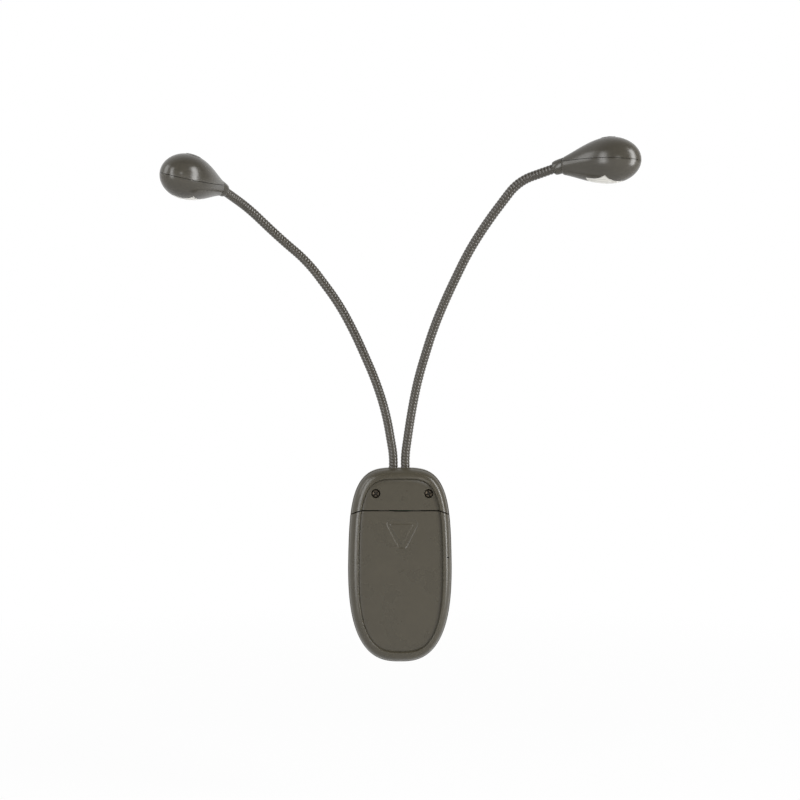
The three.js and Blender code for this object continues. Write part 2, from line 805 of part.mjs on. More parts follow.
// A length of ribbed hose. A ball end sits in the cup end of the length below it, at the joint.
function hoseLength(neck, [start, startForm], [end, endForm]) {
  const outer = [];
  const inner = [];
  if (startForm === 'ball') {
    inner.push([start - sphereBack(ballRadius, boreRadius), boreRadius]);
    for (const share of ballRadiusShares) {
      const radius = ballRadius * share;
      outer.push([start - sphereBack(ballRadius, radius), radius]);
    }
    outer.push([start + ballShoulder, ballRadius]);
    outer.push([start + ballShoulder + ballShoulderStep, hoseRadius]);
  } else {
    inner.push([start, boreRadius]);
    outer.push([start, hoseRadius]);
  }
  const ribsStart = start + straightEnd;
  const ribs = Math.floor((end - straightEnd - ribsStart) / ribPitch);
  for (let i = 0; i < ribs; i += 1) {
    outer.push([ribsStart + i * ribPitch, hoseRadius - ribDepth]);
    outer.push([ribsStart + (i + 1 / 2) * ribPitch, hoseRadius]);
    if (i % ribsPerBoreRing === 0) {
      inner.push([ribsStart + i * ribPitch, boreRadius]);
    }
  }
  outer.push([ribsStart + ribs * ribPitch, hoseRadius - ribDepth]);
  outer.push([ribsStart + (ribs + 1 / 2) * ribPitch, hoseRadius]);
  inner.push([ribsStart + ribs * ribPitch, boreRadius]);
  if (endForm === 'cup') {
    outer.push([end - cupRimBack, hoseRadius]);
    for (const share of cupRadiusShares) {
      const radius = cupRadius * share;
      outer.push([end - sphereBack(cupRadius, radius), radius]);
    }
    inner.push([end - sphereBack(cupRadius, boreRadius), boreRadius]);
  } else {
    outer.push([end, hoseRadius]);
    inner.push([end, boreRadius]);
  }
  const rings = [...outer, ...inner.reverse()];
  return skin(rings.map(([station, radius]) => hoseRing(neck, station, radius)), { looped: true });
}

function unitAcross(heading, direction) {
  return direction.clone().addScaledVector(heading, -heading.dot(direction)).normalize();
}

function addNeck(side, neck) {
  const joints = neckJointShares.map((share) => share * neckLength);
  const names = ['root', 'lower', 'middle', 'upper', 'end', 'tip'];
  names.forEach((name, i) => {
    const start = i === 0 ? [-rootInside, 'plain'] : [joints[i - 1], 'ball'];
    const end = i < joints.length ? [joints[i], 'cup'] : [neckLength + tipInside, 'plain'];
    addPiece(`neck_${side}_${name}`, hoseLength(neck, start, end), 'neck');
  });
  const back = new THREE.Vector3(0, 1, 0);
  joints.forEach((station, i) => {
    const { place, heading } = neck.at(station);
    const sway = unitAcross(heading, back);
    const nod = new THREE.Vector3().crossVectors(sway, heading);
    const axis = i === joints.length - 1 ? headAxes(neck).side : [sway, nod][i % 2];
    light.userData.joints.push({ name: `${side}_${names[i + 1]}`, place, axis });
  });
}

// Frame of a head: rolled about the neck's end heading, its nose droops from it by a set angle
function headAxes({ at, roll }) {
  const { heading } = at(neckLength);
  const side = new THREE.Vector3(0, 0, 1).cross(heading).normalize();
  side.applyAxisAngle(heading, THREE.MathUtils.degToRad(roll));
  const nose = heading.clone().applyAxisAngle(side, THREE.MathUtils.degToRad(headDroopAngle));
  const up = new THREE.Vector3().crossVectors(nose, side);
  return { nose, side, up };
}

// Egg of the head, drawn in by an inset. Stations run from its rear face to the nose.
function eggRadius(station) {
  if (station > headWidest) {
    const share = (station - headWidest) / (headLength - headWidest);
    return headRadius * Math.sqrt(Math.max(0, 1 - share ** 2));
  }
  const share = (Math.max(0, station) / headWidest) ** headTaperPower;
  return headRearRadius + (headRadius - headRearRadius) * Math.sin((Math.PI / 2) * share);
}

function eggMiddle(station) {
  const before = Math.max(0, 1 - Math.max(0, station) / headWidest);
  return headLift - headRearDrop * before ** headDropPower;
}

function egg(inset) {
  const rings = [];
  const ring = (station, radius) => {
    const middle = new THREE.Vector3(collarLength + station, 0, seamAboveNeck + eggMiddle(station));
    const [up, side] = [new THREE.Vector3(0, 0, 1), new THREE.Vector3(0, 1, 0)];
    rings.push(ringPoints(middle, up, side, radius, headPoints));
  };
  for (let i = 0; i <= rearSteps; i += 1) {
    const station = inset + ((headWidest - inset) * i) / rearSteps;
    ring(station, eggRadius(station) - inset);
  }
  for (let i = 1; i <= noseSteps; i += 1) {
    const angle = THREE.MathUtils.degToRad((noseLastAngle * i) / noseSteps);
    const station = headWidest + (headLength - headWidest - inset) * Math.sin(angle);
    ring(station, (headRadius - inset) * Math.cos(angle));
  }
  const tipX = collarLength + headLength - inset;
  return skin(rings, { endTip: new THREE.Vector3(tipX, 0, seamAboveNeck + headLift) });
}

function slab(lowZ, highZ) {
  const reach = headLength + collarLength + overrun;
  return block([-overrun, reach], [-reach, reach], [seamAboveNeck + lowZ, seamAboveNeck + highZ]);
}

// Outline of the window, seen from above, drawn in by a gap, with hollow sides between its corners
function windowOutline(gap) {
  const corners = [
    [windowRear + gap, windowRearHalf - gap],
    [windowMiddle, windowHalf - 2 * gap],
    [windowFront - 2 * gap, 0],
  ].map(([station, side]) => new THREE.Vector2(collarLength + station, side));
  const middle = new THREE.Vector2(collarLength + windowMiddle, 0);
  const half = [];
  for (let i = 0; i + 1 < corners.length; i += 1) {
    const control = corners[i].clone().add(corners[i + 1]).divideScalar(2);
    const inwards = middle.clone().sub(control).normalize();
    control.addScaledVector(inwards, 2 * windowHollow);
    const curve = new THREE.QuadraticBezierCurve(corners[i], control, corners[i + 1]);
    half.push(...curve.getPoints(windowCurvePoints).slice(i === 0 ? 0 : 1));
  }
  const mirrored = half.slice(0, -1).reverse().map((point) => new THREE.Vector2(point.x, -point.y));
  return [...half, ...mirrored];
}

function windowPrism(gap) {
  const depth = headRadius + headRearDrop;
  const options = { depth, bevelEnabled: false };
  const geometry = new THREE.ExtrudeGeometry(new THREE.Shape(windowOutline(gap)), options);
  return geometry.translate(0, 0, seamAboveNeck - depth + reflectorTop - reflectorThickness);
}

function makeLed(station) {
  const top = headBoardFloor - seatGap;
  const profile = [[0, top - ledHeight]];
  for (let i = 1; i <= arcSteps; i += 1) {
    const angle = (Math.PI / 2) * (i / arcSteps);
    profile.push([ledRadius * Math.sin(angle), top - ledHeight + ledRadius * (1 - Math.cos(angle))]);
  }
  profile.push([ledRadius, top - ledFlangeHeight], [ledFlangeRadius, top - ledFlangeHeight]);
  profile.push([ledFlangeRadius, top], [0, top]);
  return turned(profile).translate(collarLength + station, 0, seamAboveNeck);
}

function makeButton() {
  const switchTop = headBoardFloor + headBoardThickness + seatGap + switchHeight;
  const stubFloor = switchTop + buttonTravel + runningGap;
  const flangeFloor = stubFloor + buttonStubHeight;
  const flangeTop = flangeFloor + buttonFlangeHeight;
  const profile = [
    [0, stubFloor],
    [buttonStubRadius, stubFloor],
    [buttonStubRadius, flangeFloor],
    [buttonFlangeRadius, flangeFloor],
    [buttonFlangeRadius, flangeTop],
    [buttonRadius, flangeTop],
    [buttonRadius, headRadius + headLift + 2 * buttonStand],
    [0, headRadius + headLift + 2 * buttonStand],
  ];
  const post = turned(profile, headPoints).translate(collarLength + buttonPlace, 0, seamAboveNeck);
  return common(post, egg(-buttonStand));
}

function makeCollar(towards) {
  const bore = hoseRadius + looseGap;
  const length = collarLength + overrun;
  const ring = turned([
    [bore, 0],
    [collarMouthRadius, 0],
    [collarHeadRadius, collarLength],
    [collarHeadRadius, length],
    [bore, length],
    [bore, 0],
  ]);
  const turn = new THREE.Quaternion().setFromUnitVectors(new THREE.Vector3(0, 0, 1), towards);
  const reach = headRadius + overrun;
  const beyond = [collarLength - looseGap, collarLength + reach];
  return cut(ring.applyQuaternion(turn), block(beyond, [-reach, reach], [-reach, reach]));
}

function addHead(side, neck) {
  const head = new THREE.Group();
  const axes = headAxes(neck);
  head.position.copy(neck.at(neckLength).place);
  head.quaternion.setFromRotationMatrix(new THREE.Matrix4().makeBasis(axes.nose, axes.side, axes.up));
  light.add(head);
  const droop = THREE.MathUtils.degToRad(headDroopAngle);
  const towards = new THREE.Vector3(Math.cos(droop), 0, Math.sin(droop));
  const add = (name, shape, finish) => addPiece(`head_${side}_${name}`, shape, finish, head);

  const neckHole = rod(
    towards.clone().multiplyScalar(-overrun),
    towards.clone().multiplyScalar(tipInside + looseGap + overrun),
    hoseRadius + looseGap,
  );
  const shell = cut(egg(0), egg(headWall), neckHole);
  const boardTop = headBoardFloor + headBoardThickness;
  const posts = [rearPostPlace, frontPostPlace].flatMap((station) =>
    [-postSide, postSide].map((y) => rod(
      new THREE.Vector3(collarLength + station, y, seamAboveNeck + boardTop + looseGap),
      new THREE.Vector3(collarLength + station, y, seamAboveNeck + headRadius),
      postRadius,
      hosePoints,
    )));
  const buttonHole = rod(
    new THREE.Vector3(collarLength + buttonPlace, 0, seamAboveNeck + boardTop),
    new THREE.Vector3(collarLength + buttonPlace, 0, seamAboveNeck + 2 * headRadius),
    buttonRadius + looseGap,
    headPoints,
  );
  const upperSlab = slab(headSeamGap / 2, 2 * headRadius);
  const lowerSlab = slab(-2 * headRadius, -headSeamGap / 2);
  const heldPosts = common(join(...posts), egg(headWall / 2));
  const upper = common(cut(join(shell, heldPosts), buttonHole), upperSlab);
  add('upper_shell', upper, 'shell');
  add('lower_shell', cut(common(shell, lowerSlab), windowPrism(0)), 'shell');
  add('lens', common(cut(egg(0), egg(headWall)), windowPrism(looseGap)), 'lens');
  add('collar', makeCollar(towards), 'shell');

  const reflectorFloor = reflectorTop - reflectorThickness;
  const tray = common(egg(headWall + looseGap), slab(reflectorFloor, reflectorTop));
  const trayLength = [collarLength + reflectorRear, collarLength + reflectorFront];
  const across = [-headRadius, headRadius];
  const trayRoom = block(trayLength, across, [-headRadius, headRadius]);
  const ledHoles = ledPlaces.map((station) => rod(
    new THREE.Vector3(collarLength + station, 0, -headRadius),
    new THREE.Vector3(collarLength + station, 0, headRadius),
    ledRadius + ledGap,
  ));
  add('reflector', cut(common(tray, trayRoom), ...ledHoles), 'reflector');
  ['inner', 'outer'].forEach((name, i) => add(`led_${name}`, makeLed(ledPlaces[i]), 'led'));

  const boardLength = [collarLength + headBoardRear, collarLength + headBoardFront];
  const boardZ = [seamAboveNeck + headBoardFloor, seamAboveNeck + boardTop];
  const boardRoom = egg(headWall + looseGap);
  add('led_board', common(block(boardLength, [-headBoardHalf, headBoardHalf], boardZ), boardRoom), 'board');
  const switchFloor = boardZ[1] + seatGap;
  const switchMiddle = collarLength + buttonPlace;
  add('switch', block(
    [switchMiddle - switchHalfSize, switchMiddle + switchHalfSize],
    [-switchHalfSize, switchHalfSize],
    [switchFloor, switchFloor + switchHeight],
  ), 'rubber');
  add('button', makeButton(), 'shell');

  const leadStart = towards.clone().multiplyScalar(tipInside - headLeadBack);
  const leadMiddle = towards.clone().multiplyScalar(tipInside + leadRadius);
  const leadEnd = new THREE.Vector3(collarLength + headLeadPlace - ledFlangeRadius, 0, 0);
  leadEnd.z = boardZ[0] - seatGap - leadRadius;
  add('lead', sweptLead([leadStart, leadMiddle, leadEnd]), 'insulation');
  light.userData.joints.push({ name: `${side}_button`, place: head.position, axis: axes.up.clone().negate() });
}

function sweptLead(points) {
  return sweptTube(new THREE.CatmullRomCurve3(points).getPoints(2 * leadSides), leadRadius, leadSides);
}

// Cells and contacts. Up means that the cell's raised end is at the top.
const cells = [
  { name: 'cell_left', x: -cellSpacing, up: true },
  { name: 'cell_middle', x: 0, up: false },
  { name: 'cell_right', x: cellSpacing, up: true },
];

function makeCell({ x, up }) {
  const radius = cellDiameter / 2;
  const shape = turned([
    [0, 0],
    [radius, 0],
    [radius, cellLength - nubHeight],
    [nubRadius, cellLength - nubHeight],
    [nubRadius, cellLength],
    [0, cellLength],
  ], 2 * hosePoints);
  const endGap = seatGap + plateThickness + looseGap;
  if (up) {
    return shape.translate(x, cellY, bayTopZ - endGap - cellLength);
  }
  return shape.rotateX(Math.PI).translate(x, cellY, bayFloorRise + endGap + cellLength);
}

// A contact plate on the bay's end wall, with a bent leaf that presses on a cell's flat end
function makeContact([lowX, highX], atTop, leafX) {
  const outwards = atTop ? 1 : -1;
  const plateFar = (atTop ? bayTopZ : bayFloorRise) - outwards * seatGap;
  const plateNear = plateFar - outwards * plateThickness;
  const plate = block(
    [lowX - plateHalfWidth, highX + plateHalfWidth],
    [cellY - plateHalfDepth, cellY + plateHalfDepth],
    [Math.min(plateFar, plateNear), Math.max(plateFar, plateNear)],
  );
  if (leafX === null) {
    return plate;
  }
  const overlap = plateThickness / 2;
  const outline = [
    [-leafSpan, -overlap],
    [-leafCrown, leafHeight],
    [leafCrown, leafHeight],
    [leafSpan, -overlap],
    [leafSpan - 2 * overlap, -overlap],
    [leafCrown - overlap, leafHeight - plateThickness],
    [overlap - leafCrown, leafHeight - plateThickness],
    [2 * overlap - leafSpan, -overlap],
  ].map(([y, height]) => new THREE.Vector2(cellY + y, plateNear - outwards * height));
  const ordered = atTop ? outline : outline.reverse();
  return join(plate, prismAlongX(ordered, leafX - leafHalfWidth, leafX + leafHalfWidth));
}

function makeBoard() {
  const frontY = frontInnerY - boardStand - seatGap;
  const backY = frontY - boardThickness;
  const middleZ = boardFloorRise + boardHeight / 2;
  const plate = block(
    [boardPlace - boardHalfWidth, boardPlace + boardHalfWidth],
    [backY, frontY],
    [boardFloorRise, boardFloorRise + boardHeight],
  );
  const chip = block(
    [boardPlace - chipHalfSize, boardPlace + chipHalfSize],
    [backY - chipHeight, backY + boardThickness / 2],
    [middleZ - chipHalfSize, middleZ + chipHalfSize],
  );
  return join(plate, chip);
}

function makeAnchor() {
  const whole = block(
    [neckOffset - anchorHalfWidth, neckOffset + anchorHalfWidth],
    [frontInnerY - looseGap - anchorDepth, frontInnerY - looseGap],
    [anchorFloorRise, anchorFloorRise + anchorHeight],
  );
  const bores = Object.values(necks).map(({ at }) =>
    rod(at(-2 * rootInside).place, at(0).place, hoseRadius + looseGap));
  return cut(whole, ...bores);
}

// A lead from the board's back, up into the neck's bore
function makeBodyLead({ at }) {
  const boardBackY = frontInnerY - boardStand - seatGap - boardThickness;
  const entry = at(-rootInside).place;
  const low = new THREE.Vector3(entry.x, boardBackY - seatGap - leadRadius, 0);
  low.z = boardFloorRise + boardHeight - pillarInset;
  return sweptLead([low, at(-rootInside - leadRadius).place, at(0).place]);
}

// Housing and what it holds
addPiece('front_shell', makeFrontShell(), 'shell');
addPiece('back_cover', makeBackCover(), 'shell');
addPiece('battery_door', makeBatteryDoor(), 'shell');
for (const [side, x] of Object.entries(screwPlaces)) {
  addPiece(`cover_screw_${side}`, makeScrew(x), 'dark_steel');
}
for (const cell of cells) {
  addPiece(cell.name, makeCell(cell), 'cell');
}
const [leftCell, middleCell, rightCell] = cells.map(({ x }) => x);
addPiece('contact_positive', makeContact([leftCell, leftCell], true, null), 'steel');
addPiece('bridge_top', makeContact([middleCell, rightCell], true, middleCell), 'steel');
addPiece('bridge_bottom', makeContact([leftCell, middleCell], false, leftCell), 'steel');
addPiece('contact_negative', makeContact([rightCell, rightCell], false, rightCell), 'steel');
addPiece('circuit_board', makeBoard(), 'board');
addPiece('neck_anchor', makeAnchor(), 'rubber');
for (const [side, neck] of Object.entries(necks)) {
  addPiece(`lead_${side}`, makeBodyLead(neck), 'insulation');
}

// Clip
addPiece('clip_arm', makeClipArm(), 'shell');
addPiece('hinge_pin', makeHingePin(), 'steel');
addPiece('clip_spring', sweptTube(springPath(), springWire / 2, springSides), 'steel');
addPiece('fixed_pad', makePad(frontFaceY + seatGap, -jawGap / 2), 'rubber');
addPiece('moving_pad', makePad(jawGap / 2, jawInnerY - seatGap), 'rubber');
light.userData.joints.push({ name: 'clip', place: pivot, axis: new THREE.Vector3(1, 0, 0) });
const springGap = leastGapToItself(springPath(), springWire, springSteps - 1);
console.log(`clip spring, least gap to itself: ${springGap.toFixed(2)} mm`);

// Necks and heads
for (const [side, neck] of Object.entries(necks)) {
  addNeck(side, neck);
  addHead(side, neck);
}

export default light;
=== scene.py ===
# %% [markdown]
# # A clip-on light with two goosenecks
#
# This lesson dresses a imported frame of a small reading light. The light has a flat, pebble-shaped
# battery housing with a sprung clip behind it, two wound goosenecks that leave its top, and an
# egg-shaped head on each. The frame holds every part at its real place, so each piece is made where
# the frame says and rides on the body that it belongs to. All sizes are written in millimetres.

# %% Load the frame
import json
import math

import bpy
import bmesh
import numpy as np
from mathutils import Matrix, Vector


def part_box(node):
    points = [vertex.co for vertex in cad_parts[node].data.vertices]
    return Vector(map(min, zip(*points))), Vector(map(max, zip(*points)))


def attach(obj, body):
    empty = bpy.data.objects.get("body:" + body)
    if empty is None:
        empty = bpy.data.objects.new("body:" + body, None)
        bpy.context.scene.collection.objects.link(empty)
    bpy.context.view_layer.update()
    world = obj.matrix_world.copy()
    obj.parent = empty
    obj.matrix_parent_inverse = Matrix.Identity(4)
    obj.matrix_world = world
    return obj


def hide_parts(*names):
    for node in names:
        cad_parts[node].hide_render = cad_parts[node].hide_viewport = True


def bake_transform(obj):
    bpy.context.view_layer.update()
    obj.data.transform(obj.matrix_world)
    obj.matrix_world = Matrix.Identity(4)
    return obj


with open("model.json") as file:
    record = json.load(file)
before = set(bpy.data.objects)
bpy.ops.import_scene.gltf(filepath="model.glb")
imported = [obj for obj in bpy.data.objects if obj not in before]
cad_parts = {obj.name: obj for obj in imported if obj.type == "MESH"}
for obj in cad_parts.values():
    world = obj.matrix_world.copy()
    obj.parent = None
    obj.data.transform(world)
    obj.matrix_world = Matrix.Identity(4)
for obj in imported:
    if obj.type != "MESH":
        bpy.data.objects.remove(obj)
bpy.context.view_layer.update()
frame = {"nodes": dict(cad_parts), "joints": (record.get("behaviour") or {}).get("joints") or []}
MM = 0.001

# %% [markdown]
# ## Camera, room and light
#
# The light was photographed square on from behind, by a camera level with the middle of the picture.
# A longer lens from far away would flatten the heads that reach towards the camera, so the camera
# stands at a real tabletop distance. Two tall soft boxes make the upright highlights: a bright one
# on the right, and a dimmer one nearer to the camera on the left. A panel high on the left lightens
# the backs of the heads, and a small lamp over the camera adds the dot between the highlights. The
# room around is white.

# %% Camera
CAMERA_DISTANCE = 680
CAMERA_HEIGHT = 116.2
PICTURE_WIDTH = 400
PICTURE_MIDDLE = 0.05
HOUSING_MIDDLE_Y = -14
SENSOR_WIDTH = 36

camera_data = bpy.data.cameras.new("camera")
camera_data.sensor_width = SENSOR_WIDTH
camera_data.lens = SENSOR_WIDTH * CAMERA_DISTANCE / PICTURE_WIDTH
camera_data.clip_start = 0.01
camera = bpy.data.objects.new("camera", camera_data)
bpy.context.scene.collection.objects.link(camera)
camera.location = Vector((PICTURE_MIDDLE, HOUSING_MIDDLE_Y - CAMERA_DISTANCE, CAMERA_HEIGHT)) * MM
camera.rotation_euler = (math.radians(90), 0, 0)
bpy.context.scene.camera = camera
bpy.context.scene.view_settings.view_transform = "Standard"
print("lens:", round(camera_data.lens, 1), "mm")

# %% Lamps
LAMPS = {
    # name: (place in mm, width, height, power in watts)
    "soft_box_left": ((-460, -700, 285), 210, 830, 3.9),
    "soft_box_right": ((580, -310, 300), 230, 830, 6.1),
    "side_panel": ((-640, -230, 480), 300, 480, 1.6),
    "small_lamp": ((110, -700, 260), 60, 60, 0.25),
}
LIGHT_TARGET = Vector((0, -30, 250))

for light_name, (place, width, height, power) in LAMPS.items():
    lamp_data = bpy.data.lights.new(light_name, "AREA")
    lamp_data.shape = "RECTANGLE"
    lamp_data.size = width * MM
    lamp_data.size_y = height * MM
    lamp_data.energy = power
    lamp = bpy.data.objects.new(light_name, lamp_data)
    bpy.context.scene.collection.objects.link(lamp)
    lamp.location = Vector(place) * MM
    lamp.rotation_euler = (LIGHT_TARGET - Vector(place)).to_track_quat("-Z", "Y").to_euler()
print("lamps:", len(LAMPS))


# %% [markdown]
# The room is white. Behind the light, its wall is at full strength to the camera and in glossy
# reflections, which lightens the edges of the dark plastic. That wall comes further forward on the
# left; in front, reflections see only the plain room light.


# %% White room
def nodes_of(owner):
    """Empties a node tree and gives its nodes and a short way to link them."""
    owner.use_nodes = True
    tree = owner.node_tree
    tree.nodes.clear()
    return tree.nodes, tree.links.new


def value_node(nodes, link, operation, *inputs):
    """A sum node; each input is a number or a socket."""
    step = nodes.new("ShaderNodeMath")
    step.operation = operation
    for i, value in enumerate(inputs):
        if isinstance(value, (int, float)):
            step.inputs[i].default_value = value
        else:
            link(value, step.inputs[i])
    return step.outputs[0]


def fade_node(nodes, link, value, start, end, low=0, high=1):
    """Fades from low to high while a value goes from start to end."""
    fade = nodes.new("ShaderNodeMapRange")
    fade.inputs["From Min"].default_value = start
    fade.inputs["From Max"].default_value = end
    fade.inputs["To Min"].default_value = low
    fade.inputs["To Max"].default_value = high
    link(value, fade.inputs["Value"])
    return fade.outputs["Result"]


ROOM_LIGHT = 0.3
LEFT_REACH = -0.5

room = bpy.data.worlds.new("white_room")
bpy.context.scene.world = room
nodes, link = nodes_of(room)
path = nodes.new("ShaderNodeLightPath")
where = nodes.new("ShaderNodeTexCoord")
split = nodes.new("ShaderNodeSeparateXYZ")
link(where.outputs["Generated"], split.inputs[0])
towards = value_node(nodes, link, "MULTIPLY_ADD", split.outputs["X"], LEFT_REACH, split.outputs["Y"])
behind = fade_node(nodes, link, towards, -0.25, 0.35)
reflected = value_node(nodes, link, "MULTIPLY", path.outputs["Is Glossy Ray"], behind)
seen = path.outputs["Is Camera Ray"]
for other in (path.outputs["Is Transmission Ray"], reflected):
    seen = value_node(nodes, link, "MAXIMUM", seen, other)
background = nodes.new("ShaderNodeBackground")
background.inputs["Color"].default_value = (1, 1, 1, 1)
link(fade_node(nodes, link, seen, 0, 1, ROOM_LIGHT, 1), background.inputs["Strength"])
output = nodes.new("ShaderNodeOutputWorld")
link(background.outputs[0], output.inputs["Surface"])
print("room light:", ROOM_LIGHT)


# %% Helpers for meshes
def mesh_piece(name, points, faces):
    """A new object from points in millimetres and faces."""
    mesh = bpy.data.meshes.new(name)
    mesh.from_pydata([tuple(np.array(point, float) * MM) for point in points], [], faces)
    piece = bpy.data.objects.new(name, mesh)
    bpy.context.scene.collection.objects.link(piece)
    return face_outwards(piece)


def face_outwards(piece):
    """Turns all faces to look out of the solid."""
    work = bmesh.new()
    work.from_mesh(piece.data)
    bmesh.ops.recalc_face_normals(work, faces=work.faces)
    work.to_mesh(piece.data)
    work.free()
    return piece


def skin(name, rings, looped=False, start_tip=None, end_tip=None):
    """A closed skin over rings that all have as many points. Open ends get a fan or one face."""
    count = len(rings[0])
    points = [point for ring in rings for point in ring]
    faces = []
    spans = len(rings) if looped else len(rings) - 1
    for k in range(spans):
        low, high = k * count, ((k + 1) % len(rings)) * count
        for i in range(count):
            j = (i + 1) % count
            faces.append((low + i, low + j, high + j, high + i))
    if not looped:
        ends = ((start_tip, 0), (end_tip, (len(rings) - 1) * count))
        for tip, first in ends:
            if tip is None:
                faces.append(tuple(range(first, first + count)))
            else:
                points.append(tip)
                last = len(points) - 1
                faces += [(first + i, first + (i + 1) % count, last) for i in range(count)]
    return mesh_piece(name, points, faces)


def prism(name, outline, place, low, high):
    """An outline of (u, v) pairs pushed from low to high; place turns (u, v, depth) into a point."""
    return skin(name, [[place(u, v, depth) for u, v in outline] for depth in (low, high)])


def block(low, high):
    """A tool or rib given by its lowest and highest corners."""
    outline = [(low[0], low[1]), (high[0], low[1]), (high[0], high[1]), (low[0], high[1])]
    return prism("block", outline, lambda x, y, z: (x, y, z), low[2], high[2])


def turned(name, profile, sides=48, place=Vector((0, 0, 0)), up=Vector((0, 0, 1))):
    """A piece turned on a lathe, from (radius, height) pairs; a radius of 0 closes an end."""
    turn = up.to_track_quat("Z", "Y").to_matrix()
    rings, tips = [], {}
    for radius, height in profile:
        middle = place + turn @ Vector((0, 0, height))
        if radius == 0:
            tips["start_tip" if not rings else "end_tip"] = middle
            continue
        angles = [2 * math.pi * i / sides for i in range(sides)]
        rings.append([
            middle + turn @ Vector((radius * math.cos(a), radius * math.sin(a), 0)) for a in angles
        ])
    return skin(name, rings, **tips)


def circle(middle, across, over, radii):
    """Points round a middle, one for each radius."""
    turns = [2 * math.pi * i / len(radii) for i in range(len(radii))]
    return [
        middle + radius * (math.cos(a) * across + math.sin(a) * over)
        for a, radius in zip(turns, radii)
    ]


def rod(start, end, radius, sides=32):
    """A plain round tool between two points."""
    along = Vector(end) - Vector(start)
    return turned("rod", [(radius, 0), (radius, along.length)], sides, Vector(start), along)


def carve(piece, tool, operation="DIFFERENCE"):
    """Cuts a tool out of a piece, joins it on, or keeps what both share. The tool is used up."""
    step = piece.modifiers.new("carve", "BOOLEAN")
    step.operation = operation
    step.solver = "EXACT"
    step.object = tool
    bpy.context.view_layer.update()
    solid = bpy.data.meshes.new_from_object(
        piece.evaluated_get(bpy.context.evaluated_depsgraph_get())
    )
    piece.modifiers.clear()
    piece.data = solid
    solid.name = piece.name
    bpy.data.objects.remove(tool)
    return piece


def join(piece, *tools):
    for tool in tools:
        carve(piece, tool, "UNION")
    return piece


def cut(piece, *tools):
    for tool in tools:
        carve(piece, tool)
    return piece


def keep_common(piece, tool):
    return carve(piece, tool, "INTERSECT")


SHARP_ANGLE = 32


def soften(piece, sharp_angle=SHARP_ANGLE):
    """Shades a piece smooth, but keeps its real edges crisp."""
    piece.data.shade_smooth()
    piece.data.set_sharp_from_angle(angle=math.radians(sharp_angle))
    return piece


def finish_piece(piece, name, body, material, slot, *nodes):
    """Names a piece, gives it its material and body, and hides the frame's nodes that it stands for."""
    piece.name = name
    piece.data.name = name
    piece.data.materials.clear()
    piece.data.materials.append(material)
    soften(piece)
    if body:
        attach(piece, body)
    if nodes:
        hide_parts(*nodes)
    print(f"{name}: {len(piece.data.polygons)} faces")
    return piece


# %% [markdown]
# ## Finishes
#
# The shells are moulded in a dark olive grey plastic with a fine sparked grain. Painting a grain by
# hand or a picture would tie it to one shape, so a node group makes it from noise in the object's own
# space, and each material sets how coarse and how deep it is.


# %% Shared grain and smudge groups
def new_group(name, inputs, outputs):
    group = bpy.data.node_groups.new(name, "ShaderNodeTree")
    for label, default in inputs.items():
        socket = group.interface.new_socket(label, in_out="INPUT", socket_type="NodeSocketFloat")
        socket.default_value = default
    for label in outputs:
        group.interface.new_socket(label, in_out="OUTPUT", socket_type="NodeSocketFloat")
    return group, group.nodes.new("NodeGroupInput"), group.nodes.new("NodeGroupOutput")


def grain_group():
    """Fine moulded grain: a height for bump and a slow smudge for colour and roughness."""
    inputs = {"Grain per metre": 3000, "Smudge per metre": 60}
    group, given, result = new_group("moulded_grain", inputs, ("Grain", "Smudge"))
    where = group.nodes.new("ShaderNodeTexCoord")
    for label, source, detail in (("Grain", "Grain per metre", 2), ("Smudge", "Smudge per metre", 4)):
        noise = group.nodes.new("ShaderNodeTexNoise")
        noise.inputs["Detail"].default_value = detail
        noise.inputs["Roughness"].default_value = 0.6
        group.links.new(where.outputs["Object"], noise.inputs["Vector"])
        group.links.new(given.outputs[source], noise.inputs["Scale"])
        group.links.new(noise.outputs["Fac"], result.inputs[label])
    return group


moulded_grain = grain_group()


def grained(name, color, roughness, grain=3000, depth=0.02, variation=0.12, **sockets):
    """A material with moulded grain: slight colour and gloss variation, and a fine bump."""
    material = bpy.data.materials.new(name)
    nodes, link = nodes_of(material)
    surface = nodes.new("ShaderNodeBsdfPrincipled")
    for label, value in sockets.items():
        surface.inputs[label.replace("_", " ")].default_value = value
    group = nodes.new("ShaderNodeGroup")
    group.node_tree = moulded_grain
    group.inputs["Grain per metre"].default_value = grain
    tint = nodes.new("ShaderNodeMix")
    tint.data_type = "RGBA"
    # Inputs 6 and 7 of a Mix node are its two colours.
    for socket, shade in ((6, 1 - variation / 2), (7, 1 + variation / 2)):
        values = [min(1, channel * shade) for channel in color]
        tint.inputs[socket].default_value = (*values, 1)
    link(fade_node(nodes, link, group.outputs["Smudge"], 0.3, 0.7), tint.inputs[0])
    link(tint.outputs[2], surface.inputs["Base Color"])
    dull, shiny = roughness * 1.08, roughness * 0.92
    gloss = fade_node(nodes, link, group.outputs["Smudge"], 0.3, 0.7, shiny, dull)
    link(gloss, surface.inputs["Roughness"])
    bump = nodes.new("ShaderNodeBump")
    bump.inputs["Strength"].default_value = 0.35
    bump.inputs["Distance"].default_value = depth * MM
    link(group.outputs["Grain"], bump.inputs["Height"])
    link(bump.outputs["Normal"], surface.inputs["Normal"])
    output = nodes.new("ShaderNodeOutputMaterial")
    link(surface.outputs[0], output.inputs["Surface"])
    return material


# %% Materials of the light
OLIVE_GREY = (0.0478, 0.0413, 0.0273)
HEAD_GREY = (0.046, 0.041, 0.031)
WINDING_GREY = (0.042, 0.036, 0.026)

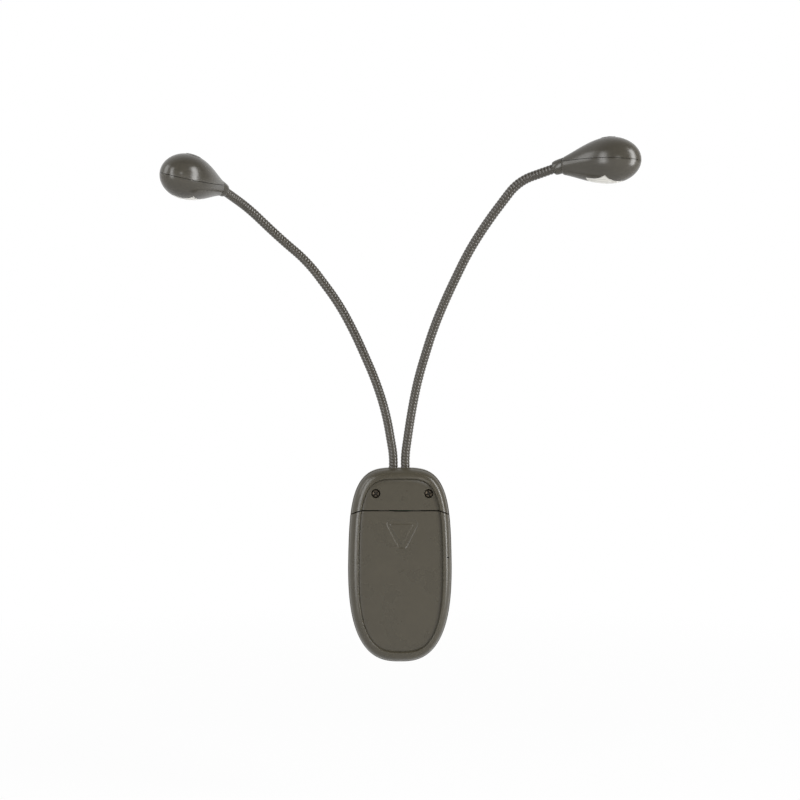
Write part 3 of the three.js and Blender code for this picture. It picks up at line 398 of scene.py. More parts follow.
case_plastic = grained("case_plastic", OLIVE_GREY, 0.28)
head_plastic = grained("head_plastic", HEAD_GREY, 0.25, depth=0.012)
neck_winding = grained("neck_winding", WINDING_GREY, 0.2, grain=6000, depth=0.005, Specular_IOR_Level=0.6)
soft_rubber = grained("soft_rubber", (0.022, 0.021, 0.019), 0.8, grain=1800, depth=0.05)
dark_steel = grained("dark_steel", (0.08, 0.066, 0.049), 0.42, depth=0.01, Metallic=1.0)
plated_steel = grained("plated_steel", (0.56, 0.55, 0.52), 0.28, depth=0.01, Metallic=1.0)
reflector_white = grained("reflector_white", (0.84, 0.83, 0.8), 0.3, depth=0.01)
board_green = grained("board_green", (0.03, 0.14, 0.06), 0.35, grain=1500)
jacket_grey = grained("jacket_grey", (0.25, 0.26, 0.28), 0.3, depth=0.01, Metallic=0.4)
wire_grey = grained("wire_grey", (0.35, 0.35, 0.33), 0.55)
switch_black = grained("switch_black", (0.02, 0.02, 0.02), 0.5)
led_resin = grained("led_resin", (0.85, 0.78, 0.45), 0.12, depth=0.005)
lens_clear = grained("lens_clear", (0.9, 0.88, 0.82), 0.22, depth=0.01, Transmission_Weight=0.4, IOR=1.49)
print("materials:", len(bpy.data.materials))


# %% [markdown]
# The floor is pale and lies well below the light, which hangs by its clip. Light Path draws it
# nearly white to the camera near the light, so that a soft shadow still falls on it, and fully
# white further away, where it meets the room without an edge.


# %% Floor
FLOOR_LEVEL = -92
FLOOR_SIZE = 6000
NEAR_WHITE = 0.95
SHADOW_REACH = (250, 700)


def floor_material():
    material = bpy.data.materials.new("pale_floor")
    nodes, link = nodes_of(material)
    surface = nodes.new("ShaderNodeBsdfPrincipled")
    surface.inputs["Base Color"].default_value = (0.9, 0.9, 0.9, 1)
    surface.inputs["Roughness"].default_value = 0.9
    glow = nodes.new("ShaderNodeEmission")
    glow.inputs["Color"].default_value = (1, 1, 1, 1)
    path = nodes.new("ShaderNodeLightPath")
    seen = path.outputs["Is Camera Ray"]
    for kind in ("Is Glossy Ray", "Is Transmission Ray"):
        seen = value_node(nodes, link, "MAXIMUM", seen, path.outputs[kind])
    where = nodes.new("ShaderNodeTexCoord")
    away = nodes.new("ShaderNodeVectorMath")
    away.operation = "LENGTH"
    link(where.outputs["Object"], away.inputs[0])
    start, end = (reach * MM for reach in SHADOW_REACH)
    white = fade_node(nodes, link, away.outputs["Value"], start, end, NEAR_WHITE, 1)
    mix = nodes.new("ShaderNodeMixShader")
    link(value_node(nodes, link, "MULTIPLY", seen, white), mix.inputs[0])
    link(surface.outputs[0], mix.inputs[1])
    link(glow.outputs[0], mix.inputs[2])
    output = nodes.new("ShaderNodeOutputMaterial")
    link(mix.outputs[0], output.inputs["Surface"])
    return material


half = FLOOR_SIZE / 2
corners = [(x * half, y * half, FLOOR_LEVEL) for x, y in ((-1, -1), (1, -1), (1, 1), (-1, 1))]
floor = mesh_piece("floor", corners, [(0, 1, 2, 3)])
floor.data.materials.append(floor_material())
print("floor at", FLOOR_LEVEL, "mm")

# %% [markdown]
# ## Housing
#
# Seen from behind, the housing is a pebble: two half superellipses that meet at the widest line, the
# upper one a little narrower towards its top. One function gives that outline at any inset, so shells,
# rim, panel and clip all follow one shape; an outline further in has tighter corners. The frame gives
# its width, top and bottom.

# %% Outline of the housing
def box_of(node):
    """The low and high corner of a node of the frame, in millimetres."""
    return [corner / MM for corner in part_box(node)]


shell_low, shell_high = box_of("front_shell")
door_low, door_high = box_of("battery_door")
pad_low, pad_high = box_of("fixed_pad")
HALF_WIDTH = shell_high.x
TOP_Z = shell_high.z
BOTTOM_Z = shell_low.z
WIDEST_Z = BOTTOM_Z + 49.8
TOP_ROUNDNESS = 3.65
TOP_TAPER = 0.045
BOTTOM_ROUNDNESS = 2.68
TIGHTER_PER_MM = 0.06
SEAT_GAP = 0.2
FRONT_Y = pad_low.y - SEAT_GAP
CREST_Y = door_low.y
PARTING_Y = door_high.y
WALL = 1.5
OUTLINE_POINTS = 176


def housing_outline(inset, end_inset=None, count=OUTLINE_POINTS):
    """(x, z) pairs of the housing's outline, drawn in at the sides and at the ends."""
    end_inset = inset if end_inset is None else end_inset
    pairs = []
    for i in range(count):
        angle = 2 * math.pi * (i + 0.5) / count
        across, along = math.cos(angle), math.sin(angle)
        roundness = (TOP_ROUNDNESS if along >= 0 else BOTTOM_ROUNDNESS) + TIGHTER_PER_MM * inset
        half_height = (TOP_Z - WIDEST_Z if along >= 0 else WIDEST_Z - BOTTOM_Z) - end_inset
        x = math.copysign(abs(across) ** (2 / roundness), across) * (HALF_WIDTH - inset)
        rise = math.copysign(abs(along) ** (2 / roundness), along)
        pairs.append((x * (1 - TOP_TAPER * max(0, rise)), WIDEST_Z + rise * half_height))
    return pairs


def housing_loft(name, levels):
    """A solid through outlines at (y, inset, end inset) levels, some with a shift along x."""
    rings = []
    for y, side, end, *shift in levels:
        moved = sum(shift)
        rings.append([(x + moved, y, z) for x, z in housing_outline(side, end)])
    return skin(name, rings)


def quarter(steps):
    """Angles of a quarter turn."""
    return [math.pi / 2 * i / steps for i in range(steps + 1)]


print("housing:", round(2 * HALF_WIDTH, 2), "by", round(TOP_Z - BOTTOM_Z, 2), "mm")

# %% [markdown]
# The two back parts share one tray: a flat panel inside a rim. Modelling them as one loft and cutting
# it along the seam keeps the rim unbroken. The panel's edge falls softly into a narrow groove, and the
# rim rises steeply from it to a round crest. The crest is flattest at the tilts that mirror the soft
# boxes, so it catches a clear line of light on both sides; a long flank runs on from there to the
# parting line. The seam is level across the panel and curls down over the rim.

# %% Back tray
PANEL_Y = CREST_Y + 0.9
PANEL_INNER_Y = PANEL_Y + WALL
PANEL_SHIFT = 0.45
STEP_INSET = 0.35
CREST_INSET = 4.45
END_EXTRA = 0.45
SHOULDER_INSET = 7.4
GROOVE_INSET = 5.35
SHOULDER_DROP = 0.2
WALL_LEVELS = ((PANEL_Y + 0.33, 5.22), (PANEL_Y + 0.33, 5.1), (CREST_Y + 0.3, 4.8),
               (CREST_Y + 0.12, 4.7), (CREST_Y + 0.03, 4.58))
CREST_ARCS = ((11, 1.4), (20, 7), (45, 3))
SHOULDER_STEPS = 6
CREST_STEPS = 5
FLANK_STEPS = 8
ARC_STEPS = 14


def bend_on(line, start, end, radius, steps):
    """Carries a line of (y, inset) pairs on along an arc, from one tilt to another."""
    y, inset = line[-1]
    for i in range(1, steps + 1):
        a = start + (end - start) * i / steps
        line.append((y + radius * (math.cos(start) - math.cos(a)),
                     inset - radius * (math.sin(a) - math.sin(start))))


def rim_line():
    """(y, inset) pairs from the crest to the parting line: the crest's arcs, then the flank."""
    line, tilt = [(CREST_Y, CREST_INSET)], 0
    for turn, radius in CREST_ARCS:
        bend_on(line, tilt, math.radians(turn), radius, CREST_STEPS)
        tilt = math.radians(turn)
    rise, run = PARTING_Y - line[-1][0], line[-1][1] - STEP_INSET
    bend = math.atan2(rise, run) - tilt
    bend_on(line, tilt, tilt + 2 * bend, math.hypot(rise, run) / (2 * math.sin(bend)), FLANK_STEPS)
    return line


def back_tray(name):
    levels = []
    for i in range(SHOULDER_STEPS + 1):
        share = i / SHOULDER_STEPS
        inset = SHOULDER_INSET + (GROOVE_INSET - SHOULDER_INSET) * share
        levels.append((PANEL_Y + SHOULDER_DROP * share ** 2, inset, inset + END_EXTRA, PANEL_SHIFT))
    levels += [(y, inset, inset + END_EXTRA, PANEL_SHIFT) for y, inset in WALL_LEVELS]
    for y, inset in rim_line():
        inwards = (inset - STEP_INSET) / (CREST_INSET - STEP_INSET)
        levels.append((y, inset, inset + END_EXTRA * inwards, PANEL_SHIFT * inwards))
    tray = housing_loft(name, levels)
    cavity = housing_loft("cavity", [
        (PANEL_INNER_Y, CREST_INSET, CREST_INSET),
        (PARTING_Y + 1, STEP_INSET + WALL, STEP_INSET + WALL),
    ])
    return cut(tray, cavity)


# %% Seam between cover and door
SEAM_Z = 61.1
SEAM_FLAT_HALF = 18.5
SEAM_DROP = 2.9
SEAM_GAP = 0.6
SEAM_STEPS = 96


def seam_height(x):
    beyond = max(0, abs(x) - SEAM_FLAT_HALF) / (HALF_WIDTH - SEAM_FLAT_HALF)
    return SEAM_Z - SEAM_DROP * beyond ** 1.6


def seam_tool(shift, end_z):
    """Everything above or below the seam, as a cutter."""
    reach = HALF_WIDTH + 1
    xs = [-reach + 2 * reach * i / SEAM_STEPS for i in range(SEAM_STEPS + 1)]
    outline = [(x, seam_height(x) + shift) for x in xs] + [(reach, end_z), (-reach, end_z)]
    return prism("seam", outline, lambda x, z, y: (x, y, z), CREST_Y - 1, PARTING_Y + 2)


# %% Back cover with its screw recesses
SCREW_PLACES = {"left": (-12, 69.6), "right": (14.4, 69.6)}
SCREW_RADIUS = 2.1
RECESS_RADIUS = SCREW_RADIUS + 0.15
RECESS_FLOOR_Y = PANEL_Y + 1.5

back_cover = keep_common(back_tray("back_cover"), seam_tool(SEAM_GAP / 2, TOP_Z + 1))
for x, z in SCREW_PLACES.values():
    join(back_cover, rod((x, PANEL_INNER_Y - 0.6, z), (x, -12.8, z), 3))
    cut(back_cover, rod((x, CREST_Y - 1, z), (x, RECESS_FLOOR_Y, z), RECESS_RADIUS, 48))
    mouth = [(RECESS_RADIUS, 0.15), (RECESS_RADIUS + 0.2, -0.05), (RECESS_RADIUS + 0.2, -1)]
    cut(back_cover, turned("mouth", mouth, 48, Vector((x, PANEL_Y, z)), Vector((0, 1, 0))))
finish_piece(back_cover, "back_cover_shell", "housing", case_plastic, "case_plastic", "back_cover")

# %% [markdown]
# The door carries an arrow that shows which way it slides. It is a shallow groove between two
# triangles; its walls slope, so each edge shows as a fine line, lit on one side and dark on the other.
# Inside, hooks run on the shell's rails and tongues reach under the cover. Outside there are a thumb
# notch at the seam and a tiny moulding pit on the rim.

# %% Arrow groove
ARROW_DEPTH = 0.235
ARROW_SLOPE = 0.5
ARROW_SHARP_ANGLE = 15
OUTER_ARROW = [(-8.4, 56.9), (10.7, 56.9), (3.2, 42.2), (-0.6, 42.2)]
OUTER_ROUNDING = (5.6, 5.6, 1.4, 1.4)
INNER_ARROW = [(-4.9, 54.1), (6.3, 54.1), (1.0, 44.4)]
INNER_ROUNDING = (0.9, 0.9, 0.9)


def curve_point(first, control, last, t):
    """A point on a short curve that a control point bends."""
    return first * (1 - t) ** 2 + control * 2 * t * (1 - t) + last * t ** 2


def rounded(corners, radii, steps=7):
    """An outline with its corners rounded by short curves."""
    outline = []
    for i, (corner, radius) in enumerate(zip(corners, radii)):
        before, here = Vector(corners[i - 1]), Vector(corner)
        after = Vector(corners[(i + 1) % len(corners)])
        first = here + (before - here).normalized() * radius
        last = here + (after - here).normalized() * radius
        for k in range(steps + 1):
            outline.append(tuple(curve_point(first, here, last, k / steps)))
    return outline


def drawn_in(outline, inset):
    """An outline moved inwards along the normals of its points."""
    moved = []
    for i, point in enumerate(outline):
        before, after = Vector(outline[i - 1]), Vector(outline[(i + 1) % len(outline)])
        along = (after - before).normalized()
        moved.append((point[0] + along.y * inset, point[1] - along.x * inset))
    return moved


def arrow_solid(outline, levels):
    """A solid through an outline at (y, inset) levels."""
    return skin("arrow", [[(x, y, z) for x, z in drawn_in(outline, inset)] for y, inset in levels])


def arrow_groove():
    outer = arrow_solid(rounded(OUTER_ARROW, OUTER_ROUNDING),
                        [(PANEL_Y - 0.5, 0), (PANEL_Y, 0), (PANEL_Y + ARROW_DEPTH, ARROW_SLOPE)])
    inner = arrow_solid(rounded(INNER_ARROW, INNER_ROUNDING),
                        [(PANEL_Y - 1, 0), (PANEL_Y, 0), (PANEL_Y + 2 * ARROW_DEPTH, -2 * ARROW_SLOPE)])
    return cut(outer, inner)


# %% Battery door with hooks, tongues and thumb notch
HOOK_TIP, HOOK_STEM, HOOK_OUTER = 18.5, 19.3, 20.3
HOOK_LOW_Y, HOOK_HIGH_Y = -14.5, -13.85
HOOK_LEVELS = (14, 42)
HOOK_HEIGHT = 6
TONGUE_X = 8
TONGUE_HALF = 2.5
TONGUE_LOW_Z, TONGUE_STEP_Z, TONGUE_END_Z = 57.35, 60.6, 63
TONGUE_Y = -14.7
ROOT_Y = PANEL_INNER_Y - 0.5
THUMB_X = (-3.5, 4.7)
THUMB_DEPTH = 0.5
PIT_X, PIT_Z = 23.9, 37.8
PIT_RADIUS = 0.4


def side_block(side, near, far, low, high):
    """A block between two distances from the middle, on one side; low and high are (y, z)."""
    ends = sorted((side * near, side * far))
    return block((ends[0], *low), (ends[1], *high))


battery_door = keep_common(back_tray("battery_door"), seam_tool(-SEAM_GAP / 2, BOTTOM_Z - 1))
for side in (-1, 1):
    for z in HOOK_LEVELS:
        top = (HOOK_HIGH_Y, z + HOOK_HEIGHT)
        join(battery_door, side_block(side, HOOK_STEM, HOOK_OUTER, (ROOT_Y, z), top))
        join(battery_door, side_block(side, HOOK_TIP, HOOK_OUTER, (HOOK_LOW_Y, z), top))
    near, far = side * TONGUE_X - TONGUE_HALF, side * TONGUE_X + TONGUE_HALF
    join(battery_door, block((near, ROOT_Y, TONGUE_LOW_Z), (far, TONGUE_Y, TONGUE_STEP_Z)))
    join(battery_door, block((near, PANEL_INNER_Y + 0.3, TONGUE_LOW_Z), (far, TONGUE_Y, TONGUE_END_Z)))
thumb = []
for i in range(25):
    share = i / 24
    ease = min(1, 8 * share, 8 * (1 - share))
    x = THUMB_X[0] + (THUMB_X[1] - THUMB_X[0]) * share
    thumb.append((x, SEAM_Z - 0.15 - THUMB_DEPTH * math.sin(math.pi / 2 * ease)))
thumb += [(THUMB_X[1], SEAM_Z + 1), (THUMB_X[0], SEAM_Z + 1)]
notch = prism("thumb", thumb, lambda x, z, y: (x, y, z), CREST_Y - 1, PANEL_Y + 1.2)
cut(battery_door, notch, arrow_groove())
cut(battery_door, rod((PIT_X, CREST_Y - 1, PIT_Z), (PIT_X, -14.8, PIT_Z), PIT_RADIUS, 16))
finish_piece(battery_door, "battery_door_shell", "battery_door", case_plastic, "case_plastic",
             "battery_door")
soften(battery_door, ARROW_SHARP_ANGLE)

# %% [markdown]
# The screws have a low domed head that falls steeply at its edge, which leaves a dark ring inside the
# recess. Their cross is cut with a tapered tool, so its sloping walls glint.

# %% Cover screws
CROSS_HALF = 1.6
CROSS_HALF_WIDTH = 0.4
CROSS_DEPTH = 1.5
HEAD_TOP_Y = PANEL_Y + 0.3
CROSS_TURN = {"left": 42, "right": 22}


def cross_outline(reach, half_width, turn):
    """(x, z) pairs of a cross, turned by an angle in degrees."""
    angle = math.radians(turn)
    pairs = []
    for i in range(4):
        for x, z in ((half_width, half_width), (reach, half_width), (reach, -half_width)):
            a = angle - math.pi / 2 * i
            pairs.append((x * math.cos(a) - z * math.sin(a), x * math.sin(a) + z * math.cos(a)))
    return pairs


def cross_tool(x, z, turn):
    rings = []
    for depth, reach, width in ((-0.6, 1.1, 1.3), (CROSS_DEPTH, 0.8, 0.15)):
        outline = cross_outline(CROSS_HALF * reach, CROSS_HALF_WIDTH * width, turn)
        rings.append([(x + u, HEAD_TOP_Y + depth, z + w) for u, w in outline])
    return skin("cross", rings)


for side, (x, z) in SCREW_PLACES.items():
    profile = [(0, 0)]
    profile += [(1.75 * math.sin(a), 0.4 * (1 - math.cos(a))) for a in quarter(6)[1:-1]]
    profile += [(1.8, 0.42), (SCREW_RADIUS, 0.7), (SCREW_RADIUS, 1.1), (1.0, 1.1), (1.0, 9.5), (0, 10)]
    screw = turned("screw", profile, 48, Vector((x, HEAD_TOP_Y, z)), Vector((0, 1, 0)))
    cut(screw, cross_tool(x, z, CROSS_TURN[side]))
    finish_piece(screw, f"cover_screw_{side}_head", "housing", dark_steel, "dark_steel",
                 f"cover_screw_{side}")

# %% [markdown]
# The front shell wraps the sides and the front. It is lofted like the tray, hollowed, and then gets
# the walls of the battery bay, the rails that hold the door's hooks, the hinge ears and the screw
# bosses, because all of them show once the door is off.

# %% Front shell
FRONT_EDGE = 4.5
PIVOT = Vector(next(j for j in frame["joints"] if j["name"] == "clip_hinge")["pos_m"]) / MM
EAR_RADIUS = 3.4
EAR_FOOT = 6
PIN_HOLE_RADIUS = 1.4
BAY_LOW_Z = 4
BAY_HIGH_Z = 52.7
RAIL_X = 17
RAIL_LOW_Y = -15.3
RAIL_LOW_Z, RAIL_HIGH_Z = 13, 49


def front_levels(inset):
    soft_edge = 0.25
    levels = [
        (PARTING_Y, inset + soft_edge, inset + soft_edge),
        (PARTING_Y + 0.15, inset + 0.1, inset + 0.1),
        (PARTING_Y + soft_edge, inset, inset),
    ]
    for a in quarter(ARC_STEPS):
        side = inset + FRONT_EDGE * (1 - math.cos(a))
        levels.append((FRONT_Y - FRONT_EDGE * (1 - math.sin(a)), side, side))
    return levels


def ear(base_y, side, near, far, steps=24):
    """A hinge ear on one side of the middle: a foot on a face, rounded round the pin."""
    towards = math.copysign(1, PIVOT.y - base_y)
    outline = [(base_y, PIVOT.z - EAR_FOOT), (base_y, PIVOT.z + EAR_FOOT)]
    for i in range(steps + 1):
        a = math.pi / 2 - math.pi * i / steps
        y = PIVOT.y + towards * EAR_RADIUS * math.cos(a)
        outline.append((y, PIVOT.z + EAR_RADIUS * math.sin(a)))
    return prism("ear", outline, lambda y, z, x: (x, y, z), *sorted((side * near, side * far)))


def pin_hole():
    return rod((-20, PIVOT.y, PIVOT.z), (20, PIVOT.y, PIVOT.z), PIN_HOLE_RADIUS)


front_shell = housing_loft("front_shell", front_levels(0))
cut(front_shell, housing_loft("cavity", [
    (PARTING_Y - 1, WALL, WALL),
    (FRONT_Y - FRONT_EDGE, WALL, WALL),
    (FRONT_Y - WALL, WALL + 1.9, WALL + 1.9),
]))
inner_face = FRONT_Y - 0.7
for low_z, high_z in ((BAY_LOW_Z - WALL, BAY_LOW_Z), (BAY_HIGH_Z, BAY_HIGH_Z + WALL)):
    rib = block((-HALF_WIDTH, PARTING_Y, low_z), (HALF_WIDTH, inner_face, high_z))
    join(front_shell, keep_common(rib, housing_loft("core", front_levels(WALL / 2))))
for side in (-1, 1):
    low, high = (PARTING_Y, BAY_LOW_Z - 0.7), (inner_face, BAY_HIGH_Z + 0.7)
    join(front_shell, side_block(side, RAIL_X, RAIL_X + 1.2, low, high))
    low = (RAIL_LOW_Y, RAIL_LOW_Z)
    join(front_shell, side_block(side, RAIL_X, RAIL_X + 1.2, low, (-10, RAIL_HIGH_Z)))
    join(front_shell, side_block(side, RAIL_X, RAIL_X + 2, low, (RAIL_LOW_Y + 0.5, RAIL_HIGH_Z)))
    join(front_shell, ear(inner_face, side, 12.7, 15.1))
for x, z in SCREW_PLACES.values():
    join(front_shell, rod((x, -12.4, z), (x, inner_face, z), 3))
cut(front_shell, pin_hole())


# %% [markdown]
# ## Goosenecks
#
# Each neck is a steel hose wound from wire. Its line is a heading that changes along the length, the
# same one that the frame's solids follow, and the winding is a helical ridge on it. A real winding
# is one wire, so the ridge climbs one pitch a turn. On the real light a neck bends anywhere; here each
# neck has a hinge in every stretch, so it is cut halfway between hinges into one length for each
# hinge.

# %% Line of a neck
NECK_LENGTH = 174
NECK_SPACING = 6.1
NECK_MIDDLE_X = -0.3
NECK_Y = -10
JOINT_STATIONS = [NECK_LENGTH * share for share in (1 / 12, 4 / 12, 7 / 12, 10 / 12, 0.96)]
STRAIGHT_END = 4.1
LEAN = {
    "left": (2.8, -9.8, -17.7, -23.9, -28.3, -36.8, -50.2, -47.1, -58.4),
    "right": (-2.9, 8.2, 10.9, 16.8, 22.4, 25.8, 32.9, 37.8, 73.6),
}
NOD = {
    "left": (1, 2, 3, 4, 3, -2, -12, -22, -56),
    "right": (-2, -5, -9, -13, -17, -20, -21, -20, -23),
}
ROUTE_STEPS = 720


def knot_stations():
    joints = JOINT_STATIONS
    places = [0, joints[0] - STRAIGHT_END, joints[0] + STRAIGHT_END]
    for before, joint in zip(joints, joints[1:4]):
        places += [(before + joint) / 2, joint - STRAIGHT_END, joint + STRAIGHT_END]
    return places + [joints[-1] - STRAIGHT_END, NECK_LENGTH]


def knot_values(chosen):
    base, first, *rest, end = chosen
    values = [base, first, first]
    for between, joint in zip(rest[0::2], rest[1::2]):
        values += [between, joint, joint]
    return values + [end, end]


class Neck:
    """The line of one gooseneck: a place and a heading at any station along it."""

    def __init__(self, side, base_x):
        self.side = side
        self.lean = knot_values(LEAN[side])
        self.nod = knot_values(NOD[side])
        step = NECK_LENGTH / ROUTE_STEPS
        self.step = step
        self.places = [Vector((base_x, NECK_Y, TOP_Z))]
        for i in range(ROUTE_STEPS):
            self.places.append(self.places[-1] + self.heading((i + 0.5) * step) * step)

    def heading(self, station):
        stations = knot_stations()
        lean = math.radians(float(np.interp(station, stations, self.lean)))
        nod = math.radians(float(np.interp(station, stations, self.nod)))
        return Vector((math.sin(lean) * math.cos(nod), math.sin(nod), math.cos(lean) * math.cos(nod)))

    def place(self, station):
        nearest = min(ROUTE_STEPS, max(0, round(station / self.step)))
        return self.places[nearest] + self.heading(station) * (station - nearest * self.step)

    def ring(self, station, radii):
        """Points round the line at a station, one for each radius."""
        heading = self.heading(station)
        across = Vector((0, 1, 0))
        across = (across - heading * heading.dot(across)).normalized()
        return circle(self.place(station), across, across.cross(heading), radii)


necks = {
    "left": Neck("left", NECK_MIDDLE_X - NECK_SPACING / 2),
    "right": Neck("right", NECK_MIDDLE_X + NECK_SPACING / 2),
}
for side, neck in necks.items():
    print(side, "neck ends at", [round(v, 1) for v in neck.place(NECK_LENGTH)])

# %% Wound hose
WIRE_PITCH = 1.6
HOSE_RADIUS = 2.28
WIRE_SHARE = 0.8
WIRE_DEPTH = 0.12
GAP_DEPTH = 0.24
BORE_RADIUS = 0.9
SAMPLES_PER_PITCH = 12
BORE_SPACING = 24
HOSE_SIDES = 28
WIRE_SHARP_ANGLE = 80


def wound_radius(station, turn):
    """Radius at a station and a share of a turn: a round wire, and a narrow one sunk beside it."""
    phase = (station / WIRE_PITCH - turn) % 1
    if phase < WIRE_SHARE:
        off_middle = abs(2 * phase / WIRE_SHARE - 1)
        return HOSE_RADIUS - WIRE_DEPTH * off_middle ** 2
    return HOSE_RADIUS - GAP_DEPTH


def wound_hose(name, neck, start, end):
    spacing = WIRE_PITCH / SAMPLES_PER_PITCH
    steps = round((end - start) / spacing)
    stations = [start + (end - start) * i / steps for i in range(steps + 1)]
    turns = [i / HOSE_SIDES for i in range(HOSE_SIDES)]
    rings = [neck.ring(s, [wound_radius(s, turn) for turn in turns]) for s in stations]
    bore = [neck.ring(s, [BORE_RADIUS] * HOSE_SIDES) for s in stations[::-BORE_SPACING]]
    return skin(name, rings + bore, looped=True)


PIECE_NAMES = ("base", "low", "middle", "high", "end")
BLEND_REACH = (12, 20, 20, 10.5, 5)
INSIDE = 9

for side, neck in necks.items():
    cuts = [-INSIDE]
    cuts += [(a + b) / 2 for a, b in zip(JOINT_STATIONS, JOINT_STATIONS[1:])]
    cuts += [NECK_LENGTH + INSIDE]
    nodes_held = [["root", "lower"], ["middle"], ["upper"], ["end"], ["tip"]]
    for i, label in enumerate(PIECE_NAMES):
        hose = wound_hose(f"{side}_winding_{label}", neck, cuts[i], cuts[i + 1])
        held = [f"neck_{side}_{node}" for node in nodes_held[i]]
        finish_piece(hose, f"{side}_winding_{label}", None, neck_winding, "neck_winding", *held)
        soften(hose, WIRE_SHARP_ANGLE)
        start = neck.place(JOINT_STATIONS[i] - BLEND_REACH[i])
        end = neck.place(JOINT_STATIONS[i] + BLEND_REACH[i])
        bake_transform(hose)

# %% Holes for the necks in the front shell
for neck in necks.values():
    cut(front_shell, rod(neck.place(-12), neck.place(6), HOSE_RADIUS + 0.22, 48))
finish_piece(front_shell, "front_case", "housing", case_plastic, "case_plastic", "front_shell")

# %% [markdown]
# ## Heads
#
# A head is an egg whose rear tapers into a collar round the neck. Upper and lower shells meet at a
# level seam, a star-shaped window sits under the bulb, and a round button tops it. All of it is made
# in the head's own space, with its nose along x, and then set on the neck's end.

# %% Head space and egg shape
HEAD_DROOP = math.radians(18)
COLLAR_LENGTH = 4.45
HEAD_LENGTH = 36.8
HEAD_RADIUS = 10.7
REAR_RADIUS = 4.1
WIDEST = 22.4
HEAD_LIFT = 0.55
REAR_DROP = 2.3
HEAD_ROLL = {"left": math.radians(-17), "right": 0}
SEAM_ABOVE_NECK = 2.9
HEAD_WALL = 1.3
HEAD_SIDES = 72


def head_place(neck):
    """The matrix from a head's own space to the frame's."""
    heading = neck.heading(NECK_LENGTH)
    level = Vector((0, 0, 1)).cross(heading).normalized()
    side = Matrix.Rotation(HEAD_ROLL[neck.side], 3, heading) @ level
    nose = Matrix.Rotation(HEAD_DROOP, 3, side) @ heading
    up = nose.cross(side)
    place = Matrix((nose, side, up)).transposed().to_4x4()
    place.translation = neck.place(NECK_LENGTH)
    return place


def egg_radius(station):
    if station > WIDEST:
        share = (station - WIDEST) / (HEAD_LENGTH - WIDEST)
        return HEAD_RADIUS * math.sqrt(max(0, 1 - share ** 2))
    share = (max(0, station) / WIDEST) ** 1.15
    return REAR_RADIUS + (HEAD_RADIUS - REAR_RADIUS) * math.sin(math.pi / 2 * share)


def egg_middle(station):
    before = max(0, 1 - max(0, station) / WIDEST)
    return HEAD_LIFT - REAR_DROP * before ** 1.5


def egg(name, inset):
    """The egg, drawn in by an inset, with a small round edge at its rear."""
    rings = []

    def ring(station, radius):
        middle = Vector((COLLAR_LENGTH + station, 0, SEAM_ABOVE_NECK + egg_middle(station)))
        turns = [2 * math.pi * (i + 0.5) / HEAD_SIDES for i in range(HEAD_SIDES)]
        rings.append([middle + radius * Vector((0, math.sin(a), math.cos(a))) for a in turns])

    edge = 0.7
    if inset == 0:
        for a in quarter(4)[:-1]:
            ring(edge * (1 - math.cos(a)), egg_radius(0) - edge * (1 - math.sin(a)))
    for i in range(29):
        first = inset if inset else edge
        station = first + (WIDEST - first) * i / 28
        ring(station, egg_radius(station) - inset)
    for a in quarter(20)[1:-1]:
        station = WIDEST + (HEAD_LENGTH - WIDEST - inset) * math.sin(a)
        ring(station, (HEAD_RADIUS - inset) * math.cos(a))
    tip = Vector((COLLAR_LENGTH + HEAD_LENGTH - inset, 0, SEAM_ABOVE_NECK + HEAD_LIFT))
    return skin(name, rings, end_tip=tip)


# %% Window outline
WINDOW_CORNERS = ((12.4, 4.2), (22.3, 7.2), (29.5, 0))
WINDOW_HOLLOW = 0.6


def window_outline(gap):
    """(x, y) pairs of the window: a cut-off rear, two side points and a front point, hollow sides."""
    (rear, rear_half), (middle, widest), (front, tip) = WINDOW_CORNERS
    corners = [Vector((rear + gap, rear_half - gap)), Vector((middle, widest - 2 * gap)),
               Vector((front - 2 * gap, tip))]
    centre = Vector((middle, 0))
    line = []
    for first, last in zip(corners, corners[1:]):
        control = (first + last) / 2
        control += (centre - control).normalized() * 2 * WINDOW_HOLLOW
        line += [curve_point(first, control, last, k / 12) for k in range(12)]
    line.append(corners[-1])
    mirrored = [Vector((p.x, -p.y)) for p in reversed(line[:-1])]
    return [(COLLAR_LENGTH + p.x, p.y) for p in line + mirrored]


def window_tool(gap, top=-4.2):
    return prism("window", window_outline(gap), lambda x, y, z: (x, y, z),
                 SEAM_ABOVE_NECK - 16, SEAM_ABOVE_NECK + top)


# %% Make both heads
HEAD_SEAM_GAP = 0.22
BUTTON_X = COLLAR_LENGTH + 21
BUTTON_RADIUS = 3.5
BUTTON_STAND = 0.15
NECK_HOLE = HOSE_RADIUS + 0.15
neck_direction = Vector((math.cos(HEAD_DROOP), 0, math.sin(HEAD_DROOP)))


def head_slab(low, high):
    reach = HEAD_LENGTH + COLLAR_LENGTH + 2
    return block((-1, -reach, SEAM_ABOVE_NECK + low), (reach, reach, SEAM_ABOVE_NECK + high))


def head_piece(piece, side, label, node, material=head_plastic, slot="case_plastic", body="head"):
    """Sets a finished head piece on its neck."""
    piece.data.transform(Matrix.Scale(MM, 4) @ head_place(necks[side]) @ Matrix.Scale(1 / MM, 4))
    name, held = f"{side}_head_{label}", f"head_{side}_{node}"
    return finish_piece(piece, name, f"{side}_{body}", material, slot, held)


def hollow_egg(name):
    shell = cut(egg(name, 0), egg("inside", HEAD_WALL))
    return cut(shell, rod(neck_direction * -1, neck_direction * 12, NECK_HOLE, 48))


def button_cap():
    """A round cap whose top follows the egg, a little proud of it."""
    place = Vector((BUTTON_X, 0, SEAM_ABOVE_NECK))
    profile = [(0, 6.85), (1.3, 6.85), (1.3, 7.05), (4.1, 7.05), (4.1, 7.85), (BUTTON_RADIUS, 7.85),
               (BUTTON_RADIUS, 12), (0, 12)]
    return keep_common(turned("button", profile, 96, place), egg("over", -BUTTON_STAND))


